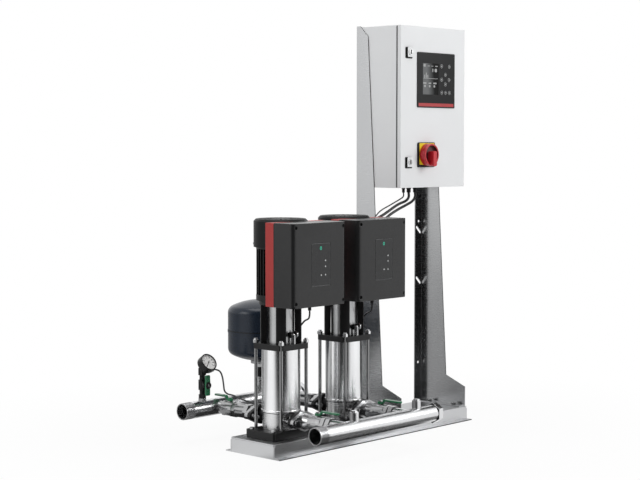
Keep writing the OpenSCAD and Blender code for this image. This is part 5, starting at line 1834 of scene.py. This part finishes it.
@dataclass
class Studio:
    """A white studio: pale floor, soft lamps, dark cards that only reflections see, and the camera."""

    eye: Vec3 = (-4.1293, -3.7044, 1.0681)
    heading: float = 43.245
    pitch: float = 3.581
    focal_px: float = 1513.79
    image_w: float = 640.0
    sensor: float = 36.0
    ambient: float = 0.42
    floor_reach: float = 40.0
    floor_z: float = -0.0005
    floor_tone: float = 0.80
    floor_glow: float = 0.93
    floor_fade: Vec2 = (0.8, 1.7)
    card_mid: Vec3 = (-0.2, 0.0, 0.002)
    card_away: float = 2.4
    card_w: float = 5.2
    card_z: Vec2 = (0.01, 3.2)
    low_card_z: float = 0.004
    pipe_card: tuple[Vec2, Vec2] = ((-0.75, 0.30), (-0.36, -0.52))
    rear_card: tuple[Vec2, Vec2] = ((-0.57, 0.20), (0.14, 0.36))
    leg_card_x: float = 0.98
    leg_card: tuple[Vec2, Vec2] = ((-0.46, 0.16), (0.0, 1.7))
    back_fan: tuple[int, int, int] = (-105, 30, 15)
    back_reach: Vec2 = (0.3, 3.0)
    wall_z: Vec2 = (0.0, 0.5)
    floor_wedge: tuple[Vec3, ...] = (
        (-0.25, -0.20, 0.36), (0.1, -0.20, 0.56), (0.5, -0.38, 0.72), (1.0, -0.80, 0.94), (1.7, -1.50, 1.25),
        (2.5, -2.05, 1.70), (3.6, -2.8, 2.4))

    def build(self) -> None:
        """Sets up the camera, the world, the floor, the lamps and the cards."""
        bpy.context.scene.view_settings.view_transform = "Standard"
        self.camera()
        self.world()
        self.floor()
        for lamp in LAMPS:
            lamp.build()
        self.cards()

    def cards(self) -> None:
        """Puts dark cards where the photograph's room is dark: by the camera, under the pipes, by a leg."""
        turn = math.radians(self.heading)
        ahead = Vector((math.cos(turn), math.sin(turn), 0.0))
        across = Vector((math.sin(turn), -math.cos(turn), 0.0))
        middle = Vector(self.card_mid)
        stand = middle - ahead * self.card_away
        half = across * self.card_w / 2
        self.card("camera_card", [[stand - half + Vector((0.0, 0.0, z)), stand + half + Vector((0.0, 0.0, z))]
                                  for z in self.card_z], Shade.CAMERA)
        wedge = [[middle - ahead * near + across * side for side in sides]
                 for near, *sides in self.floor_wedge]
        self.card("floor_card", wedge, Shade.FLOOR)
        self.low_card("pipe_card", self.pipe_card, Shade.PIPE)
        self.low_card("rear_card", self.rear_card, Shade.REAR)
        first, last, step = self.back_fan
        fan = [math.radians(angle) for angle in range(first, last + 1, step)]
        rings = [[middle + (ahead * math.cos(angle) + across * math.sin(angle)) * reach for angle in fan]
                 for reach in self.back_reach]
        self.card("back_card", rings, Shade.BACK)
        wall = [[point + Vector((0.0, 0.0, z)) for point in rings[1]] for z in self.wall_z]
        self.card("wall_card", wall, Shade.BACK)
        sides, heights = self.leg_card
        leg = [[Vector((self.leg_card_x, y, z)) for y in sides] for z in heights]
        self.card("leg_card", leg, Shade.LEG)

    def low_card(self, name: str, sides: tuple[Vec2, Vec2], shade: Shade) -> None:
        """Lays a card just above the floor, between two places in X and two in Y."""
        rows = [[Vector((x, y, self.low_card_z)) for x in sides[0]] for y in sides[1]]
        self.card(name, rows, shade)

    def camera(self) -> None:
        """Puts the camera where the photograph was taken from."""
        lens = bpy.data.cameras.new("photo_camera")
        lens.sensor_fit = "HORIZONTAL"
        lens.sensor_width = self.sensor
        lens.lens = self.focal_px / self.image_w * self.sensor
        camera = linked("photo_camera", lens)
        turn, drop = math.radians(self.heading), math.radians(self.pitch)
        forward = Vector((math.cos(turn) * math.cos(drop), math.sin(turn) * math.cos(drop), -math.sin(drop)))
        camera.location = self.eye
        camera.rotation_euler = forward.to_track_quat("-Z", "Y").to_euler()
        bpy.context.scene.camera = camera

    def world(self) -> None:
        """A white background over a softer ambient light."""
        world = bpy.data.worlds.new("studio_world")
        tree = Tree(world)
        soft, white = (tree.node("ShaderNodeBackground", Color=(1.0, 1.0, 1.0, 1.0), Strength=strength)
                       for strength in (self.ambient, 1.0))
        tree.end("World", tree.mix(tree.seen(), soft, white))
        bpy.context.scene.world = world

    def floor(self) -> None:
        """A wide pale floor that keeps a soft shadow, and that is a little dimmer near the set."""
        reach, z = self.floor_reach, self.floor_z
        mesh = bpy.data.meshes.new("floor")
        mesh.from_pydata([(-reach, -reach, z), (reach, -reach, z), (reach, reach, z), (-reach, reach, z)], [],
                         [(0, 1, 2, 3)])
        material = bpy.data.materials.new("floor_paint")
        tree = Tree(material)
        paint = tree.node("ShaderNodeBsdfDiffuse", Color=(*even(self.floor_tone), 1.0))
        glow = tree.node("ShaderNodeEmission")
        spot = tree.node("ShaderNodeNewGeometry")
        away = tree.node("ShaderNodeVectorMath")
        away.operation = "LENGTH"
        tree.join(spot.outputs["Position"], away.inputs[0])
        rise = tree.ranged(away.outputs["Value"], self.floor_fade, (self.floor_glow, 1.0))
        share = tree.combine("MULTIPLY", tree.seen(), rise)
        tree.end("Material", tree.mix(share, paint, glow))
        mesh.materials.append(material)
        self.set_down(mesh, "studio_floor")

    @staticmethod
    def set_down(mesh: bpy.types.Mesh, name: str) -> bpy.types.Object:
        """Adds a mesh to the stage.

        Args:
            mesh: The mesh.
            name: The object's name.

        Returns:
            The object.
        """
        item = linked(name, mesh)
        return item

    def card(self, name: str, rows: Sequence[Sequence[Vector]], shade: Shade) -> None:
        """Adds a dark card that reflections alone see, and that fades to white at both sides.

        Args:
            name: The card's name.
            rows: Its points from left to right, row by row.
            shade: Its brightness and its fading sides.
        """
        mesh = bpy.data.meshes.new(name)
        wide = len(rows[0])
        corners = [i * wide + j for i in range(len(rows) - 1) for j in range(wide - 1)]
        mesh.from_pydata([tuple(point) for row in rows for point in row], [],
                         [(k, k + 1, k + 1 + wide, k + wide) for k in corners])
        layer = mesh.uv_layers.new(name="width")
        for loop, corner in zip(mesh.loops, layer.data):
            corner.uv = (loop.vertex_index % wide / (wide - 1), 0.0)
        material = bpy.data.materials.new(f"{name}_cloth")
        tree = Tree(material)
        place = tree.node("ShaderNodeUVMap")
        place.uv_map = "width"
        split = tree.node("ShaderNodeSeparateXYZ")
        tree.join(place.outputs[0], split.inputs[0])
        ramp = tree.node("ShaderNodeValToRGB")
        ramp.color_ramp.interpolation = "EASE"
        core, soft = shade.value
        for stop in (soft, 1.0 - soft):
            ramp.color_ramp.elements.new(stop).color = (*even(core), 1.0)
        for end in (0, -1):
            ramp.color_ramp.elements[end].color = (1.0, 1.0, 1.0, 1.0)
        tree.join(split.outputs["X"], ramp.inputs["Fac"])
        cloth = tree.node("ShaderNodeEmission")
        tree.join(ramp.outputs["Color"], cloth.inputs["Color"])
        tree.end("Material", cloth.outputs[0])
        mesh.materials.append(material)
        item = self.set_down(mesh, name)
        item.visible_camera = False
        item.visible_diffuse = False
        item.visible_shadow = False
        item.visible_transmission = False


def main() -> None:
    """Builds the studio and then the set's pieces in order."""
    logging.basicConfig(level=logging.INFO, format="%(name)s: %(message)s")
    bench = Bench()
    Studio().build()
    for cable in CABLES:
        cable.build(bench)
    Stand(bench).build()
    Pipework(bench).build()
    for number in (1, 2):
        Pump(bench, number).build()
        Motor(bench, number).build()
        Drive(bench, number).build()
    PumpTrim(bench).build()
    Tank(bench).build()
    GaugeSet(bench).build()
    Cabinet(bench).build()
    LOG.info("%d pieces", bench.count)
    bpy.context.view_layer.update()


if __name__ == "__main__":
    main()
